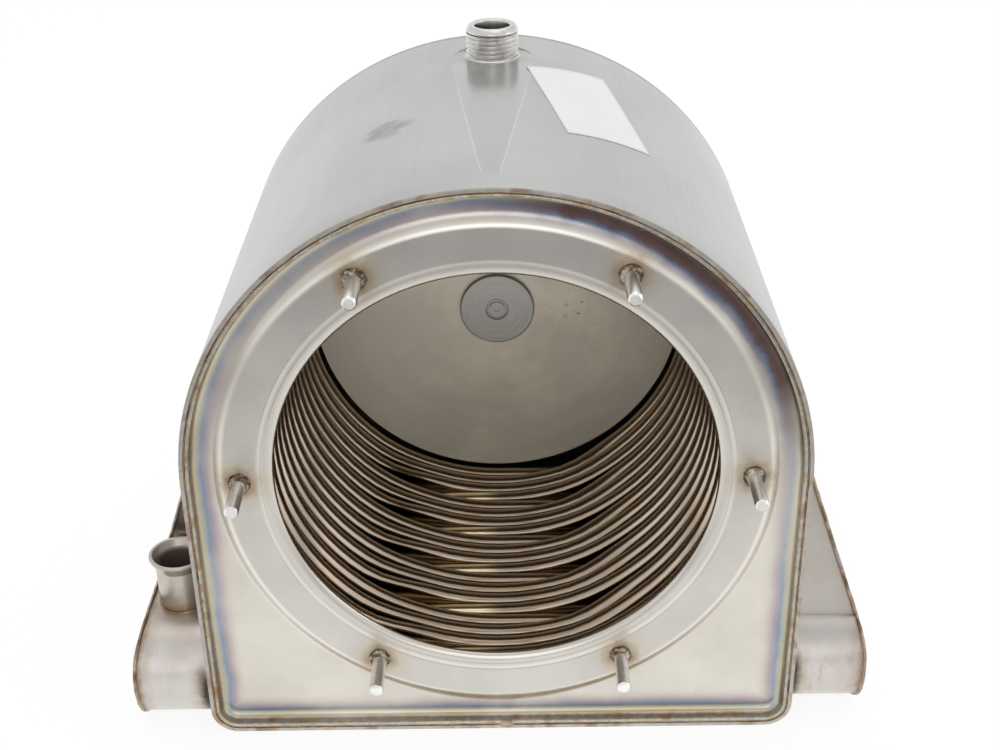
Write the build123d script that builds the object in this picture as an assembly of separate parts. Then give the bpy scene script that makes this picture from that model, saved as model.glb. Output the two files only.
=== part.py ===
from build123d import *
import math
import os

# Condensing heat exchanger module of stainless sheet: an arched shell round a coil of
# flattened tubes, with a burner opening in front and a water header on each side.
# Millimetres. +X right as seen from the burner opening, +Y to the back, +Z up.
# The origin is on the underside, below the middle of the shell.

# Shell
shell_width = 220.0
shell_depth = 174.0
shell_sheet = 1.4
corner_radius = 10.0
seam_gap = 0.5
seam_setback = 0.8
floor_clearance = 10.8
cut_overrun = 5.0

# Front and back plates
plate_sheet = 1.4
rim_depth = 5.0
rim_bend_radius = 2.5
lip_width = 5.0
lip_depth = 3.0
lip_clearance = 1.8
ring_width = 18.0
ring_slope_width = 3.5
ring_rise = 2.0
ring_foot_width = 2.0
ring_bend_radius = 4.0

# Burner door studs
stud_count = 6
stud_inset = 6.0
stud_diameter = 5.0
stud_length = 19.0
stud_chamfer = 0.6
stud_weld_width = 1.6
stud_weld_height = 1.2

# Coils of flattened tube
coil_turns = 4
coil_clearance = 10.8
coil_gap = 0.2
rear_space = 32.4
tube_depth = 18.0
tube_thickness = 4.8
tube_edge_share = 0.32
tube_gap = 0.6
crowded_angle = 40.0
spread_angle = 100.0
loft_step_angle = 20.0

# Rear disc
disc_clearance = 1.0
disc_lead = 0.3
disc_sheet = 1.5
post_radius = 20.0
plug_radius = 15.8
plug_thickness = 2.0
plug_recess_radius = 5.0
plug_recess_depth = 1.0
screw_radius = 3.2
screw_sides = 6
screw_height = 0.8
screw_socket_radius = 1.4
screw_socket_depth = 0.5

# Top nozzle and the pressed pad under it
nozzle_back_gap = 26.0
nozzle_height = 12.5
nozzle_diameter = 20.955
nozzle_bore = 14.0
nozzle_chamfer = 1.0
pad_tip_setback = 14.0
pad_tip_half_width = 3.0
pad_arc_lead = 5.0
pad_margin = 6.0

# Side headers
header_sheet = 1.5
header_rise = 1.5
header_reach = 30.0
header_knee_height = 26.0
header_knee_radius = 80.0
header_foot_radius = 5.0
header_nose_radius = 20.5
header_back_gap = 24.0
header_tuck = 6.0
header_weld_gap = 0.2
right_nose_setback = 4.5
right_face_step = 12.0

# Water connections
pipe_diameter = 18.0
pipe_wall = 1.2
pipe_flare_width = 2.2
pipe_flare_height = 3.5
pipe_clearance = 0.8
left_pipe_top = 63.0
right_pipe_length = 22.0

# Flue and condensate outlets
flue_radius = 27.0
flue_wall = 1.2
flue_clearance = 11.0
flue_length = 18.0
drain_radius = 10.0
drain_wall = 1.2
drain_clearance = 0.2
drain_offset = 60.0
drain_length = 16.0

# Places worked out from the sizes above
shell_radius = shell_width / 2
front_y = -shell_depth / 2
back_y = shell_depth / 2
coil_outer_radius = shell_radius - shell_sheet - coil_clearance
coil_inner_radius = coil_outer_radius - tube_depth
coil_radius = (coil_outer_radius + coil_inner_radius) / 2
axis_height = shell_sheet + floor_clearance + coil_outer_radius
chamber_axis = Axis((0, 0, axis_height), (0, 1, 0))
rim_inset = shell_sheet + seam_gap
plate_front = front_y + rim_depth
ring_front = plate_front - ring_rise
opening_radius = coil_inner_radius - lip_clearance
ring_outer_radius = opening_radius + ring_width
stud_circle_radius = ring_outer_radius - stud_inset
crowded_spacing = tube_thickness + tube_gap
coil_spacing = crowded_spacing * (coil_turns + 1)
turn_spacing = coil_spacing / coil_turns
coil_start = rim_depth + plate_sheet + coil_gap
coil_count = round((shell_depth - coil_start - rear_space) / coil_spacing)
disc_radius = coil_inner_radius - disc_clearance
disc_front = front_y + coil_start + coil_count * coil_spacing - disc_lead
back_plate_inner = back_y - rim_depth - plate_sheet
back_plate_outer = back_y - rim_depth
nozzle_y = back_y - nozzle_back_gap
nozzle_radius = nozzle_diameter / 2
pad_half_width = nozzle_radius + pad_margin
header_top = axis_height + header_rise
header_back = back_y - header_back_gap
left_nose_y = front_y + header_nose_radius
left_pipe_y = left_nose_y + pipe_diameter / 2
right_nose_y = front_y + right_nose_setback + header_nose_radius
header_nose_top = 2 * header_nose_radius
pipe_mouth_radius = pipe_diameter / 2 + pipe_flare_width
pipe_bore_radius = pipe_diameter / 2 - pipe_wall
pipe_x = shell_radius + pipe_clearance + pipe_mouth_radius
left_face_y = left_pipe_y + pipe_mouth_radius + pipe_clearance
right_face_y = front_y + right_nose_setback + right_face_step
flue_height = axis_height + post_radius + flue_clearance + flue_radius
drain_height = rim_inset + plate_sheet + rim_bend_radius + drain_clearance + drain_radius
upright = (Align.CENTER, Align.CENTER, Align.MIN)


def along_y(outline, start, length):
    """Stand an outline drawn in X and Z at Y = start and carry it back by length."""
    plane = Plane(origin=(0, start, 0), x_dir=(1, 0, 0), z_dir=(0, -1, 0))
    return extrude(plane * outline, -length)


def along_x(outline, start, length):
    """Stand an outline drawn in Y and Z at X = start and carry it right by length."""
    plane = Plane(origin=(start, 0, 0), x_dir=(0, 1, 0), z_dir=(1, 0, 0))
    return extrude(plane * outline, length)


def turned(outline):
    """Turn an outline drawn in radius and depth about the chamber's axis."""
    plane = Plane(origin=(0, 0, axis_height), x_dir=(1, 0, 0), z_dir=(0, 0, 1))
    return revolve(plane * outline, chamber_axis)


def disc(radius, start, length, x=0, z=axis_height):
    """A round bar along Y from Y = start."""
    return along_y(Pos(x, z) * Circle(radius), start, length)


def arch(inset):
    """The shell's outline, drawn inside its outer face by an inset."""
    half = shell_radius - inset
    sides = Polyline((half, axis_height), (half, inset), (-half, inset), (-half, axis_height))
    crown = ThreePointArc((-half, axis_height), (0, axis_height + half), (half, axis_height))
    face = make_face(sides + crown)
    feet = face.vertices().group_by(Axis.Y)[0]
    return fillet(feet, corner_radius - inset)


def arch_band(outer_inset, inner_inset, start, length):
    """A hoop of sheet between two insets of the shell's outline."""
    outer = along_y(arch(outer_inset), start, length)
    inner = along_y(arch(inner_inset), start - cut_overrun, length + 2 * cut_overrun)
    return outer - inner


def pad_floor(half_width):
    """Height of a chord of the arched top, from its half width."""
    return axis_height + math.sqrt(shell_radius ** 2 - half_width ** 2)


def pad_pocket(widening, lowering):
    """The space above the pressed pad: a wedge that widens to the nozzle and ends in an arc."""
    tip_y = front_y + pad_tip_setback
    shoulder_y = nozzle_y - nozzle_radius
    arc_y = nozzle_y - pad_arc_lead
    tip = pad_tip_half_width + widening
    shoulder = pad_half_width + widening
    left_edge = Polyline((-shoulder, arc_y), (-shoulder, shoulder_y), (-tip, tip_y))
    right_edge = Polyline((tip, tip_y), (shoulder, shoulder_y), (shoulder, arc_y))
    tip_edge = Line((-tip, tip_y), (tip, tip_y))
    back_arc = ThreePointArc((-shoulder, arc_y), (0, arc_y + shoulder), (shoulder, arc_y))
    plan = make_face(left_edge + tip_edge + right_edge + back_arc)
    middle_y = (tip_y + shoulder_y) / 2
    middle_half_width = (pad_tip_half_width + pad_half_width) / 2
    top = axis_height + shell_radius + cut_overrun
    end_y = arc_y + shoulder + cut_overrun
    floor = ThreePointArc(
        (tip_y - widening, pad_floor(pad_tip_half_width) - lowering),
        (middle_y, pad_floor(middle_half_width) - lowering),
        (shoulder_y, pad_floor(pad_half_width) - lowering),
    )
    rest = Polyline(
        (shoulder_y, pad_floor(pad_half_width) - lowering),
        (end_y, pad_floor(pad_half_width) - lowering),
        (end_y, top),
        (tip_y - widening, top),
        (tip_y - widening, pad_floor(pad_tip_half_width) - lowering),
    )
    side = along_x(make_face(floor + rest), -shell_radius, shell_width)
    return extrude(plan, top) & side


def make_shell_wrap():
    """The arched sheet, open at both ends, with the wedge-shaped pad pressed into its top."""
    outer = along_y(arch(0), front_y, shell_depth) - pad_pocket(0, 0)
    inner = along_y(arch(shell_sheet), front_y - cut_overrun, shell_depth + 2 * cut_overrun)
    nozzle_hole = Pos(0, nozzle_y, axis_height) * Cylinder(nozzle_bore / 2, shell_radius, align=upright)
    return outer - (inner - pad_pocket(shell_sheet, shell_sheet)) - nozzle_hole


def make_front_seam():
    """The weld between the shell's front edge and the front plate's rim."""
    return arch_band(shell_sheet, rim_inset, front_y + seam_setback, rim_depth - seam_setback)


def make_back_seam():
    """The weld between the shell's back edge and the back plate's rim."""
    return arch_band(shell_sheet, rim_inset, back_y - rim_depth, rim_depth - seam_setback)


def make_pan():
    """A pressed pan inside the shell's front edge, its rim turned to the front over a soft bend."""
    block = along_y(arch(rim_inset), front_y, rim_depth + plate_sheet)
    block = fillet(block.faces().sort_by(Axis.Y)[-1].edges(), plate_sheet)
    pocket = along_y(arch(rim_inset + plate_sheet), front_y - cut_overrun, rim_depth + cut_overrun)
    pocket = fillet(pocket.faces().sort_by(Axis.Y)[-1].edges(), rim_bend_radius)
    return block - pocket


def make_front_plate():
    """A pan with a raised ring, soft at both bends of its slope, and a rolled lip round the opening."""
    slope_radius = ring_outer_radius + ring_slope_width
    foot_radius = slope_radius + ring_foot_width
    pan = make_pan() - disc(foot_radius, front_y - cut_overrun, shell_depth)
    plate_back = plate_front + plate_sheet
    ring_back = ring_front + plate_sheet
    lip_front_radius = opening_radius + lip_width
    lip_back = ring_front + lip_depth
    face = Polyline(
        (foot_radius, plate_front),
        (slope_radius, plate_front),
        (ring_outer_radius, ring_front),
        (lip_front_radius, ring_front),
    )
    roll = TangentArc((lip_front_radius, ring_front), (opening_radius, lip_back), tangent=(-1, 0))
    edge = Line((opening_radius, lip_back), (opening_radius + plate_sheet, lip_back))
    inner_roll = TangentArc(
        (lip_front_radius, ring_back), (opening_radius + plate_sheet, lip_back), tangent=(-1, 0)
    )
    back = Polyline(
        (lip_front_radius, ring_back),
        (ring_outer_radius, ring_back),
        (slope_radius, plate_back),
        (foot_radius, plate_back),
        (foot_radius, plate_front),
    )
    outline = make_face(face + roll + edge + inner_roll + back)
    bends = outline.vertices().group_by(Axis.X)
    return pan + turned(fillet(bends[-2] + bends[-3], ring_bend_radius))


def make_back_plate():
    """A pan with its rim turned to the back and a hole for each outlet."""
    pan = mirror(make_pan(), about=Plane.XZ)
    hole_start = back_plate_inner - cut_overrun
    pan -= disc(flue_radius - flue_wall, hole_start, shell_depth, 0, flue_height)
    return pan - disc(drain_radius - drain_wall, hole_start, shell_depth, -drain_offset, drain_height)


def make_stud(index):
    """A burner door stud with the weld round its foot."""
    angle = math.radians(index * 360 / stud_count)
    x = stud_circle_radius * math.cos(angle)
    z = axis_height + stud_circle_radius * math.sin(angle)
    stud = disc(stud_diameter / 2, ring_front - stud_length, stud_length, x, z)
    stud = chamfer(stud.edges().sort_by(Axis.Y)[0], stud_chamfer)
    weld = disc(stud_diameter / 2 + stud_weld_width, ring_front - stud_weld_height, stud_weld_height, x, z)
    return stud + chamfer(weld.edges().sort_by(Axis.Y)[0], stud_weld_height / 2)


def tube_outline():
    """Section of the flattened tube, long side along the radius, with its edges rounded off."""
    half_depth = tube_depth / 2
    half_thick = tube_thickness / 2
    edge = tube_thickness * tube_edge_share
    corners = Polyline(
        (half_depth, half_thick - edge), (half_depth - edge, half_thick),
        (edge - half_depth, half_thick), (-half_depth, half_thick - edge),
        (-half_depth, edge - half_thick), (edge - half_depth, -half_thick),
        (half_depth - edge, -half_thick), (half_depth, edge - half_thick), close=True,
    )
    return make_face(corners)


def ease(share):
    """A step from 0 to 1 that starts and ends level."""
    return share * share * (3 - 2 * share)


def turn_offset(turn, angle):
    """Place of a turn along the coil's axis. Turns crowd together below, where the ends leave."""
    crowded = (turn - coil_turns / 2) * crowded_spacing
    spread = (turn - (coil_turns - 1) / 2) * turn_spacing
    crowded_next = crowded + crowded_spacing
    zone = spread_angle - crowded_angle
    if angle <= 180:
        share = min(max((angle - crowded_angle) / zone, 0), 1)
        return crowded + ease(share) * (spread - crowded)
    share = min(max((360 - angle - crowded_angle) / zone, 0), 1)
    return crowded_next + ease(share) * (spread - crowded_next)


def tube_section(angle, y):
    """The tube's section at an angle from the lowest point, turning up the right side."""
    turn = math.radians(angle)
    radial = Vector(math.sin(turn), 0, -math.cos(turn))
    along = Vector(math.cos(turn), 0, math.sin(turn))
    origin = Vector(0, y, axis_height) + radial * coil_radius
    return Plane(origin=origin, x_dir=radial, z_dir=along) * tube_outline()


def make_coil(index):
    """One tube wound in turns, with both ends running straight to the shell's sides."""
    middle = front_y + coil_start + coil_spacing * (index + 1 / 2)
    steps = round(360 / loft_step_angle)
    sections = []
    for step in range(coil_turns * steps + 1):
        turn = min(step // steps, coil_turns - 1)
        angle = (step - turn * steps) * 360 / steps
        sections.append(tube_section(angle, middle + turn_offset(turn, angle)))
    wound = loft(sections)
    run = shell_radius - shell_sheet
    lead_in = extrude(sections[0], -run)
    lead_out = extrude(sections[-1], run)
    return wound + lead_in + lead_out


def make_rear_disc():
    """The plate that closes the back of the chamber."""
    return disc(disc_radius, disc_front, disc_sheet)


def make_disc_post():
    """The round post that carries the rear disc on the back plate."""
    start = disc_front + disc_sheet
    return disc(post_radius, start, back_plate_inner - start)


def make_disc_plug():
    """The round washer plate in the middle of the rear disc, recessed for its screw."""
    front = disc_front - plug_thickness
    plate = disc(plug_radius, front, plug_thickness)
    return plate - disc(plug_recess_radius, front - cut_overrun, cut_overrun + plug_recess_depth)


def make_plug_screw():
    """The screw that holds the plug, with a six-sided socket."""
    seat = disc_front - plug_thickness + plug_recess_depth
    head = disc(screw_radius, seat - screw_height, screw_height)
    socket = along_y(
        Pos(0, axis_height) * RegularPolygon(screw_socket_radius, screw_sides),
        seat - screw_height - cut_overrun,
        screw_socket_depth + cut_overrun,
    )
    return head - socket


def make_top_nozzle():
    """The male nozzle that stands on the pad."""
    body = Cylinder(nozzle_radius, nozzle_height, align=upright)
    body = chamfer(body.edges().sort_by(Axis.Z)[-1], nozzle_chamfer)
    body -= Cylinder(nozzle_bore / 2, nozzle_height, align=upright)
    return Pos(0, nozzle_y, pad_floor(pad_half_width)) * body


def header_section(inset):
    """Outline of a right-hand header across X and Z: a slanted cover with a rounded knee and foot."""
    tucked = shell_radius - header_tuck
    reach = shell_radius + header_reach
    slant = (header_top - header_knee_height) / header_reach
    drop = inset * math.sqrt(1 + slant ** 2)
    tucked_top = header_top - drop + slant * header_tuck
    knee_height = header_top - drop - slant * (header_reach - inset)
    cover = Polyline((tucked, tucked_top), (reach - inset, knee_height), (reach - inset, inset))
    base = Polyline((reach - inset, inset), (tucked, inset), (tucked, tucked_top))
    face = make_face(cover + base)
    outer = face.vertices().group_by(Axis.X)[-1].sort_by(Axis.Y)
    face = fillet(outer[1], header_knee_radius - inset)
    foot = face.vertices().group_by(Axis.Y)[0].sort_by(Axis.X)[-1]
    return fillet(foot, header_foot_radius - inset) - shell_side()


def shell_side():
    """What the shell takes of a header's outline: its upright wall and its rounded corner."""
    height = header_top + header_tuck * header_top / header_reach
    wall = Pos(shell_radius, corner_radius) * Rectangle(shell_radius, height, align=(Align.MAX, Align.MIN))
    corner = Pos(shell_radius - corner_radius, corner_radius) * Circle(corner_radius + header_weld_gap)
    return wall + corner


def header_side(nose_y, face_y, inset):
    """Outline of a header along Y and Z: an upright face over a round nose. Inside, the nose ends bluntly."""
    radius = header_nose_radius - inset
    foot_z = inset * 3 / 2
    foot_y = nose_y - math.sqrt(radius ** 2 - (header_nose_radius - foot_z) ** 2)
    front = face_y + inset
    meet_y = min(front, nose_y)
    meet_z = header_nose_radius + math.sqrt(radius ** 2 - (meet_y - nose_y) ** 2)
    back = header_back - inset
    top = header_top + cut_overrun
    turn = math.atan2(meet_z - header_nose_radius, meet_y - nose_y)
    foot_turn = math.atan2(foot_z - header_nose_radius, foot_y - nose_y) + 2 * math.pi
    half_turn = (turn + foot_turn) / 2
    nose = ThreePointArc(
        (meet_y, meet_z),
        (nose_y + radius * math.cos(half_turn), header_nose_radius + radius * math.sin(half_turn)),
        (foot_y, foot_z),
    )
    corners = [(foot_y, -inset), (back, -inset), (back, top), (front, top), (front, meet_z)]
    if inset > 0:
        corners.insert(0, (foot_y, foot_z))
    rest = Polyline(*corners)
    ledge = [Line((front, meet_z), (meet_y, meet_z))] if front > meet_y else []
    return make_face([*nose.edges(), *rest.edges(), *ledge])


def make_header(nose_y, face_y):
    """A right-hand header: its front wall, its back wall, and the slanted cover with its foot."""
    solid = along_x(header_side(nose_y, face_y, 0), 0, shell_width)
    hollow = along_x(header_side(nose_y, face_y, header_sheet), 0, shell_width)
    outside = along_y(header_section(0), front_y, shell_depth)
    inside = along_y(header_section(header_sheet), front_y, shell_depth)
    front_wall, back_wall = ((inside & solid) - hollow).solids().sort_by(Axis.Y)
    return front_wall, back_wall, (outside - inside) & solid


def mirrored(shape):
    """The same shape on the left side."""
    return mirror(shape, about=Plane.YZ)


def pipe(length):
    """A water pipe along Z from the origin, with a flared mouth on top."""
    radius = pipe_diameter / 2
    flare = length - pipe_flare_height
    outer = ((pipe_bore_radius, 0), (radius, 0), (radius, flare), (pipe_mouth_radius, length))
    inner = ((pipe_mouth_radius - pipe_wall, length), (pipe_bore_radius, flare))
    return revolve(Plane.XZ * make_face(Polyline(*outer, *inner, close=True)), Axis.Z)


def make_left_header():
    """The left header, with a hole in the top of its nose under the pipe."""
    front_wall, back_wall, cover = make_header(left_nose_y, left_face_y)
    hole = Cylinder(pipe_bore_radius, header_nose_radius + cut_overrun, align=upright)
    front_wall -= Pos(pipe_x, left_pipe_y, header_nose_radius) * hole
    return mirrored(front_wall), mirrored(back_wall), mirrored(cover)


def make_left_pipe():
    """The upright pipe on top of the left header's nose."""
    return mirrored(Pos(pipe_x, left_pipe_y, header_nose_top) * pipe(left_pipe_top - header_nose_top))


def make_right_header():
    """The right header, with a hole in its back for its pipe."""
    front_wall, back_wall, cover = make_header(right_nose_y, right_face_y)
    hole_start = header_back - header_sheet - cut_overrun
    hole = disc(pipe_bore_radius, hole_start, header_sheet + 2 * cut_overrun, pipe_x, header_nose_radius)
    return front_wall, back_wall - hole, cover


def make_right_pipe():
    """The level pipe on the back of the right header."""
    plane = Plane(
        origin=(pipe_x, header_back, header_nose_radius),
        x_dir=(1, 0, 0),
        z_dir=(0, 1, 0),
    )
    return plane * pipe(right_pipe_length)


def collar(radius, wall, length, x, z):
    """A round collar on the back plate."""
    tube = disc(radius, back_plate_outer, length, x, z)
    return tube - disc(radius - wall, back_plate_outer - cut_overrun, length + 2 * cut_overrun, x, z)


def build():
    """Every piece by its name."""
    left_front, left_back, left_cover = make_left_header()
    right_front, right_back, right_cover = make_right_header()
    pieces = {
        "shell_wrap": make_shell_wrap(),
        "front_plate": make_front_plate(),
        "front_seam": make_front_seam(),
        "back_plate": make_back_plate(),
        "back_seam": make_back_seam(),
        "rear_disc": make_rear_disc(),
        "disc_post": make_disc_post(),
        "disc_plug": make_disc_plug(),
        "plug_screw": make_plug_screw(),
        "top_nozzle": make_top_nozzle(),
        "left_header_front": left_front,
        "left_header_back": left_back,
        "left_header_cover": left_cover,
        "left_pipe": make_left_pipe(),
        "right_header_front": right_front,
        "right_header_back": right_back,
        "right_header_cover": right_cover,
        "right_pipe": make_right_pipe(),
        "flue_outlet": collar(flue_radius, flue_wall, flue_length, 0, flue_height),
        "drain_outlet": collar(drain_radius, drain_wall, drain_length, -drain_offset, drain_height),
    }
    for index in range(stud_count):
        pieces[f"stud_{index + 1}"] = make_stud(index)
    for index in range(coil_count):
        pieces[f"coil_{index + 1}"] = make_coil(index)
    return pieces


os.makedirs("parts", exist_ok=True)
for name, piece in build().items():
    export_step(piece, f"parts/{name}.step")
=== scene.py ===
import math

import bmesh
import bpy
from bpy.props import FloatProperty, FloatVectorProperty, IntProperty, PointerProperty
from bpy.types import Operator, Panel, PropertyGroup
from mathutils import Matrix, Vector, noise


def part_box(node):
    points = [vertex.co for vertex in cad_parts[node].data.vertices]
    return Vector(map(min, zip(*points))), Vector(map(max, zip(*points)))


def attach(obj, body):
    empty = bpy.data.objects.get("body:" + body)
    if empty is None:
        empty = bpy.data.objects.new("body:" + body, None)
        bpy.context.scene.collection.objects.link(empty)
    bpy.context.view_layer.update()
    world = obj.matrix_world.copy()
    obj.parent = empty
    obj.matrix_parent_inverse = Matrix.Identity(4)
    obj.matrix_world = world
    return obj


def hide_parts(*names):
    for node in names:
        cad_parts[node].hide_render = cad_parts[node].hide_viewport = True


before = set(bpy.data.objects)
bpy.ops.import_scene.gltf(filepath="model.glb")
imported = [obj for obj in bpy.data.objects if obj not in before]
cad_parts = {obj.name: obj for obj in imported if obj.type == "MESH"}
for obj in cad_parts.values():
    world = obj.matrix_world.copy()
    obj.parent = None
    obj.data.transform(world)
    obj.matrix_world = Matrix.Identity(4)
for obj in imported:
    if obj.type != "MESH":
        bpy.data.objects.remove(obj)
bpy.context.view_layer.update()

bl_info = {
    "name": "Coiled Tube Heat Exchanger",
    "version": (1, 0, 0),
    "blender": (4, 5, 0),
    "location": "View3D > Sidebar > Exchanger",
    "description": "Dresses the packed heat exchanger module in welded, heat-tinted stainless steel",
    "category": "Object",
}

mm = 0.001
bead_seed = 7
shell_low, shell_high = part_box("shell_wrap")
nozzle_low, nozzle_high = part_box("top_nozzle")
stud_count = sum(name.startswith("stud_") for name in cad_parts)
coil_count = sum(name.startswith("coil_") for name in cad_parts)
front_y = shell_low.y
back_y = shell_high.y
header_reach_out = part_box("right_header_cover")[1].x - shell_high.x


# Sizes and colours that a user would change


def length(name, description, default):
    """A length in metres, shown in the scene's unit."""
    return FloatProperty(
        name=name, description=description, default=default, min=0, unit="LENGTH", precision=5
    )


def tilt(name, description, default):
    """An angle in radians, shown in degrees."""
    return FloatProperty(name=name, description=description, default=default, subtype="ANGLE")


def tone(name, description, default):
    """A linear colour."""
    return FloatVectorProperty(
        name=name, description=description, default=default, size=3, min=0, max=1, subtype="COLOR"
    )


class ShellSizes(PropertyGroup):
    """The arched sheet and its edges."""

    width: length("Width", "Across the shell's sides", shell_high.x - shell_low.x)
    axis_height: length("Axis height", "From the underside to the chamber's axis", shell_high.x)
    sheet: length("Sheet", "Thickness of the shell", 1.4 * mm)
    corner: length("Corner", "Radius of the two lower corners", 10 * mm)
    rim_depth: length("Rim depth", "From the shell's edge to the sunk plate", 5 * mm)
    seam_gap: length("Seam gap", "Width of the welded gap along the rim", 0.5 * mm)
    pad_tip_setback: length("Pad tip", "From the front edge to the tip of the pressed pad", 14 * mm)
    pad_tip_width: length("Pad tip width", "Half the pad's width at its tip", 3 * mm)
    pad_width: length("Pad width", "Half the pad's width at the nozzle", 16.4775 * mm)


class FrontSizes(PropertyGroup):
    """The front plate with its raised ring."""

    sheet: length("Sheet", "Thickness of the plate", 1.4 * mm)
    opening_radius: length("Opening", "Radius of the burner opening", 78 * mm)
    lip_width: length("Lip width", "Width of the rolled lip", 5 * mm)
    lip_depth: length("Lip depth", "How far the lip rolls back", 3 * mm)
    ring_radius: length("Ring", "Radius of the raised ring's outer edge", 96 * mm)
    slope_width: length("Slope", "Width of the slope round the ring", 3.5 * mm)
    ring_rise: length("Ring rise", "Height of the ring over the plate", 2 * mm)


class CoilSizes(PropertyGroup):
    """The coils of flattened tube."""

    turns: IntProperty(name="Turns", description="Turns in each coil", default=3, min=1)
    inner_radius: length("Inner radius", "From the axis to the tubes", 79.8 * mm)
    tube_depth: length("Tube depth", "The tube's long side", 18 * mm)
    tube_thickness: length("Tube thickness", "The tube's short side", 6.15 * mm)
    turn_spacing: length("Turn spacing", "From turn to turn over most of the coil", 9 * mm)
    crowded_spacing: length("Crowded spacing", "From turn to turn along the bottom", 6.75 * mm)
    crowded_angle: tilt("Crowded angle", "Half the arc at the bottom where the turns crowd", math.radians(36))
    spread_angle: tilt("Spread angle", "From the bottom to where the turns are spread", math.radians(57))
    lean_angle: tilt("Lean angle", "How much sooner a tube's inner edge spreads", math.radians(18))


class ThreadSizes(PropertyGroup):
    """The studs and the threaded nozzle."""

    stud_radius: length("Stud radius", "Outside the stud's thread", 2.5 * mm)
    stud_pitch: length("Stud pitch", "Pitch of the stud's thread", 0.8 * mm)
    stud_weld: length("Stud weld", "Radius of the weld at a stud's foot", 4.0 * mm)
    nozzle_pitch: length("Nozzle pitch", "Pitch of the nozzle's thread", 1.814 * mm)
    nozzle_bore: length("Nozzle bore", "Radius of the hole through the nozzle", 7 * mm)
    nozzle_collar: length("Nozzle collar", "Height of the plain collar above the thread", 2.9 * mm)


class HeaderSizes(PropertyGroup):
    """The side headers and their pipes."""

    top: length("Top", "Height where the slanted cover meets the shell", 111.5 * mm)
    reach: length("Reach", "How far a header stands out from the shell", header_reach_out - 2.5 * mm)
    knee: length("Knee", "Height at which the slant meets the upright", 33 * mm)
    knee_radius: length("Knee radius", "Radius of the bend between them", 40 * mm)
    blank_reach: length("Blank reach", "Reach of the solid that a header is pressed from", header_reach_out)
    blank_knee: length("Blank knee", "Height of the solid's knee", 26 * mm)
    blank_radius: length("Blank knee radius", "Radius of the solid's knee", 80 * mm)
    foot_radius: length("Foot radius", "Radius of the bend at the foot", 5 * mm)
    nose_radius: length("Nose", "Radius of the round nose in front", 20.5 * mm)
    pipe_radius: length("Pipe", "Outer radius of a water pipe", 9 * mm)
    pipe_wall: length("Pipe wall", "Wall of a water pipe", 1.2 * mm)
    mouth_radius: length("Mouth", "Outer radius of the flared mouth", 11.2 * mm)


class FinishTones(PropertyGroup):
    """Linear colours of the steel and its heat tints."""

    shell: tone("Shell", "Satin sheet of the shell", (0.57, 0.57, 0.567))
    plate: tone("Plate", "Sunk plate in front", (0.69, 0.655, 0.59))
    ring: tone("Ring", "Raised ring round the opening", (0.61, 0.585, 0.545))
    cream: tone("Cream", "Pale straw tint on worked edges", (0.7, 0.66, 0.58))
    straw: tone("Straw", "First heat tint", (0.62, 0.5, 0.25))
    bronze: tone("Bronze", "Second heat tint", (0.3, 0.19, 0.1))
    rust: tone("Rust", "Reddish tint on the welded edge", (0.3, 0.17, 0.1))
    violet: tone("Violet", "Third heat tint", (0.4, 0.34, 0.38))
    weld_brown: tone("Weld brown", "Burnt line along the headers' welds", (0.24, 0.16, 0.11))
    soot: tone("Soot", "Burnt weld edge", (0.045, 0.035, 0.028))
    coil: tone("Coil", "Drawn tube", (0.62, 0.54, 0.45))
    coil_gold: tone("Coil gold", "Warm stain on the tubes", (0.4, 0.28, 0.15))
    disc: tone("Disc", "Rear disc", (0.9, 0.83, 0.69))
    plug: tone("Plug", "Washer plate on the rear disc", (0.48, 0.47, 0.44))
    bright: tone("Bright", "Studs, nozzle and machined ends", (0.6, 0.59, 0.57))
    header: tone("Header", "Pickled sheet of the headers", (0.72, 0.69, 0.67))
    header_warm: tone("Header warm", "Pinkish bands on the headers", (0.5, 0.4, 0.34))
    paper: tone("Paper", "Blank sticker", (0.9, 0.9, 0.895))


class StageSettings(PropertyGroup):
    """Camera, floor and light."""

    eye: FloatVectorProperty(
        name="Eye",
        description="The camera's place",
        default=(0.00568, -0.52726, 0.39204),
        size=3,
        subtype="TRANSLATION",
    )
    pitch: tilt("Pitch", "Downward tilt", 0.4966)
    yaw: tilt("Yaw", "Turn to the right", -0.0085)
    roll: tilt("Roll", "Lean of the camera", -0.0183)
    lens: FloatProperty(name="Lens", description="Focal length in millimetres", default=54.04, min=1)
    floor_tone: tone("Floor", "Colour of the floor", (0.86, 0.86, 0.86))


class ExchangerSettings(PropertyGroup):
    """Everything that the panel shows."""

    shell: PointerProperty(type=ShellSizes)
    front: PointerProperty(type=FrontSizes)
    coils: PointerProperty(type=CoilSizes)
    threads: PointerProperty(type=ThreadSizes)
    headers: PointerProperty(type=HeaderSizes)
    tones: PointerProperty(type=FinishTones)
    stage: PointerProperty(type=StageSettings)


def part():
    """The settings of the current scene."""
    return bpy.context.scene.exchanger


# Shader expressions


def operation(kind, reflected=False):
    """A method that adds a Math node; a reflected one puts the other value first."""

    def method(self, *others):
        values = (*others, self) if reflected else (self, *others)
        return self.math(kind, *values)

    return method


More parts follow.
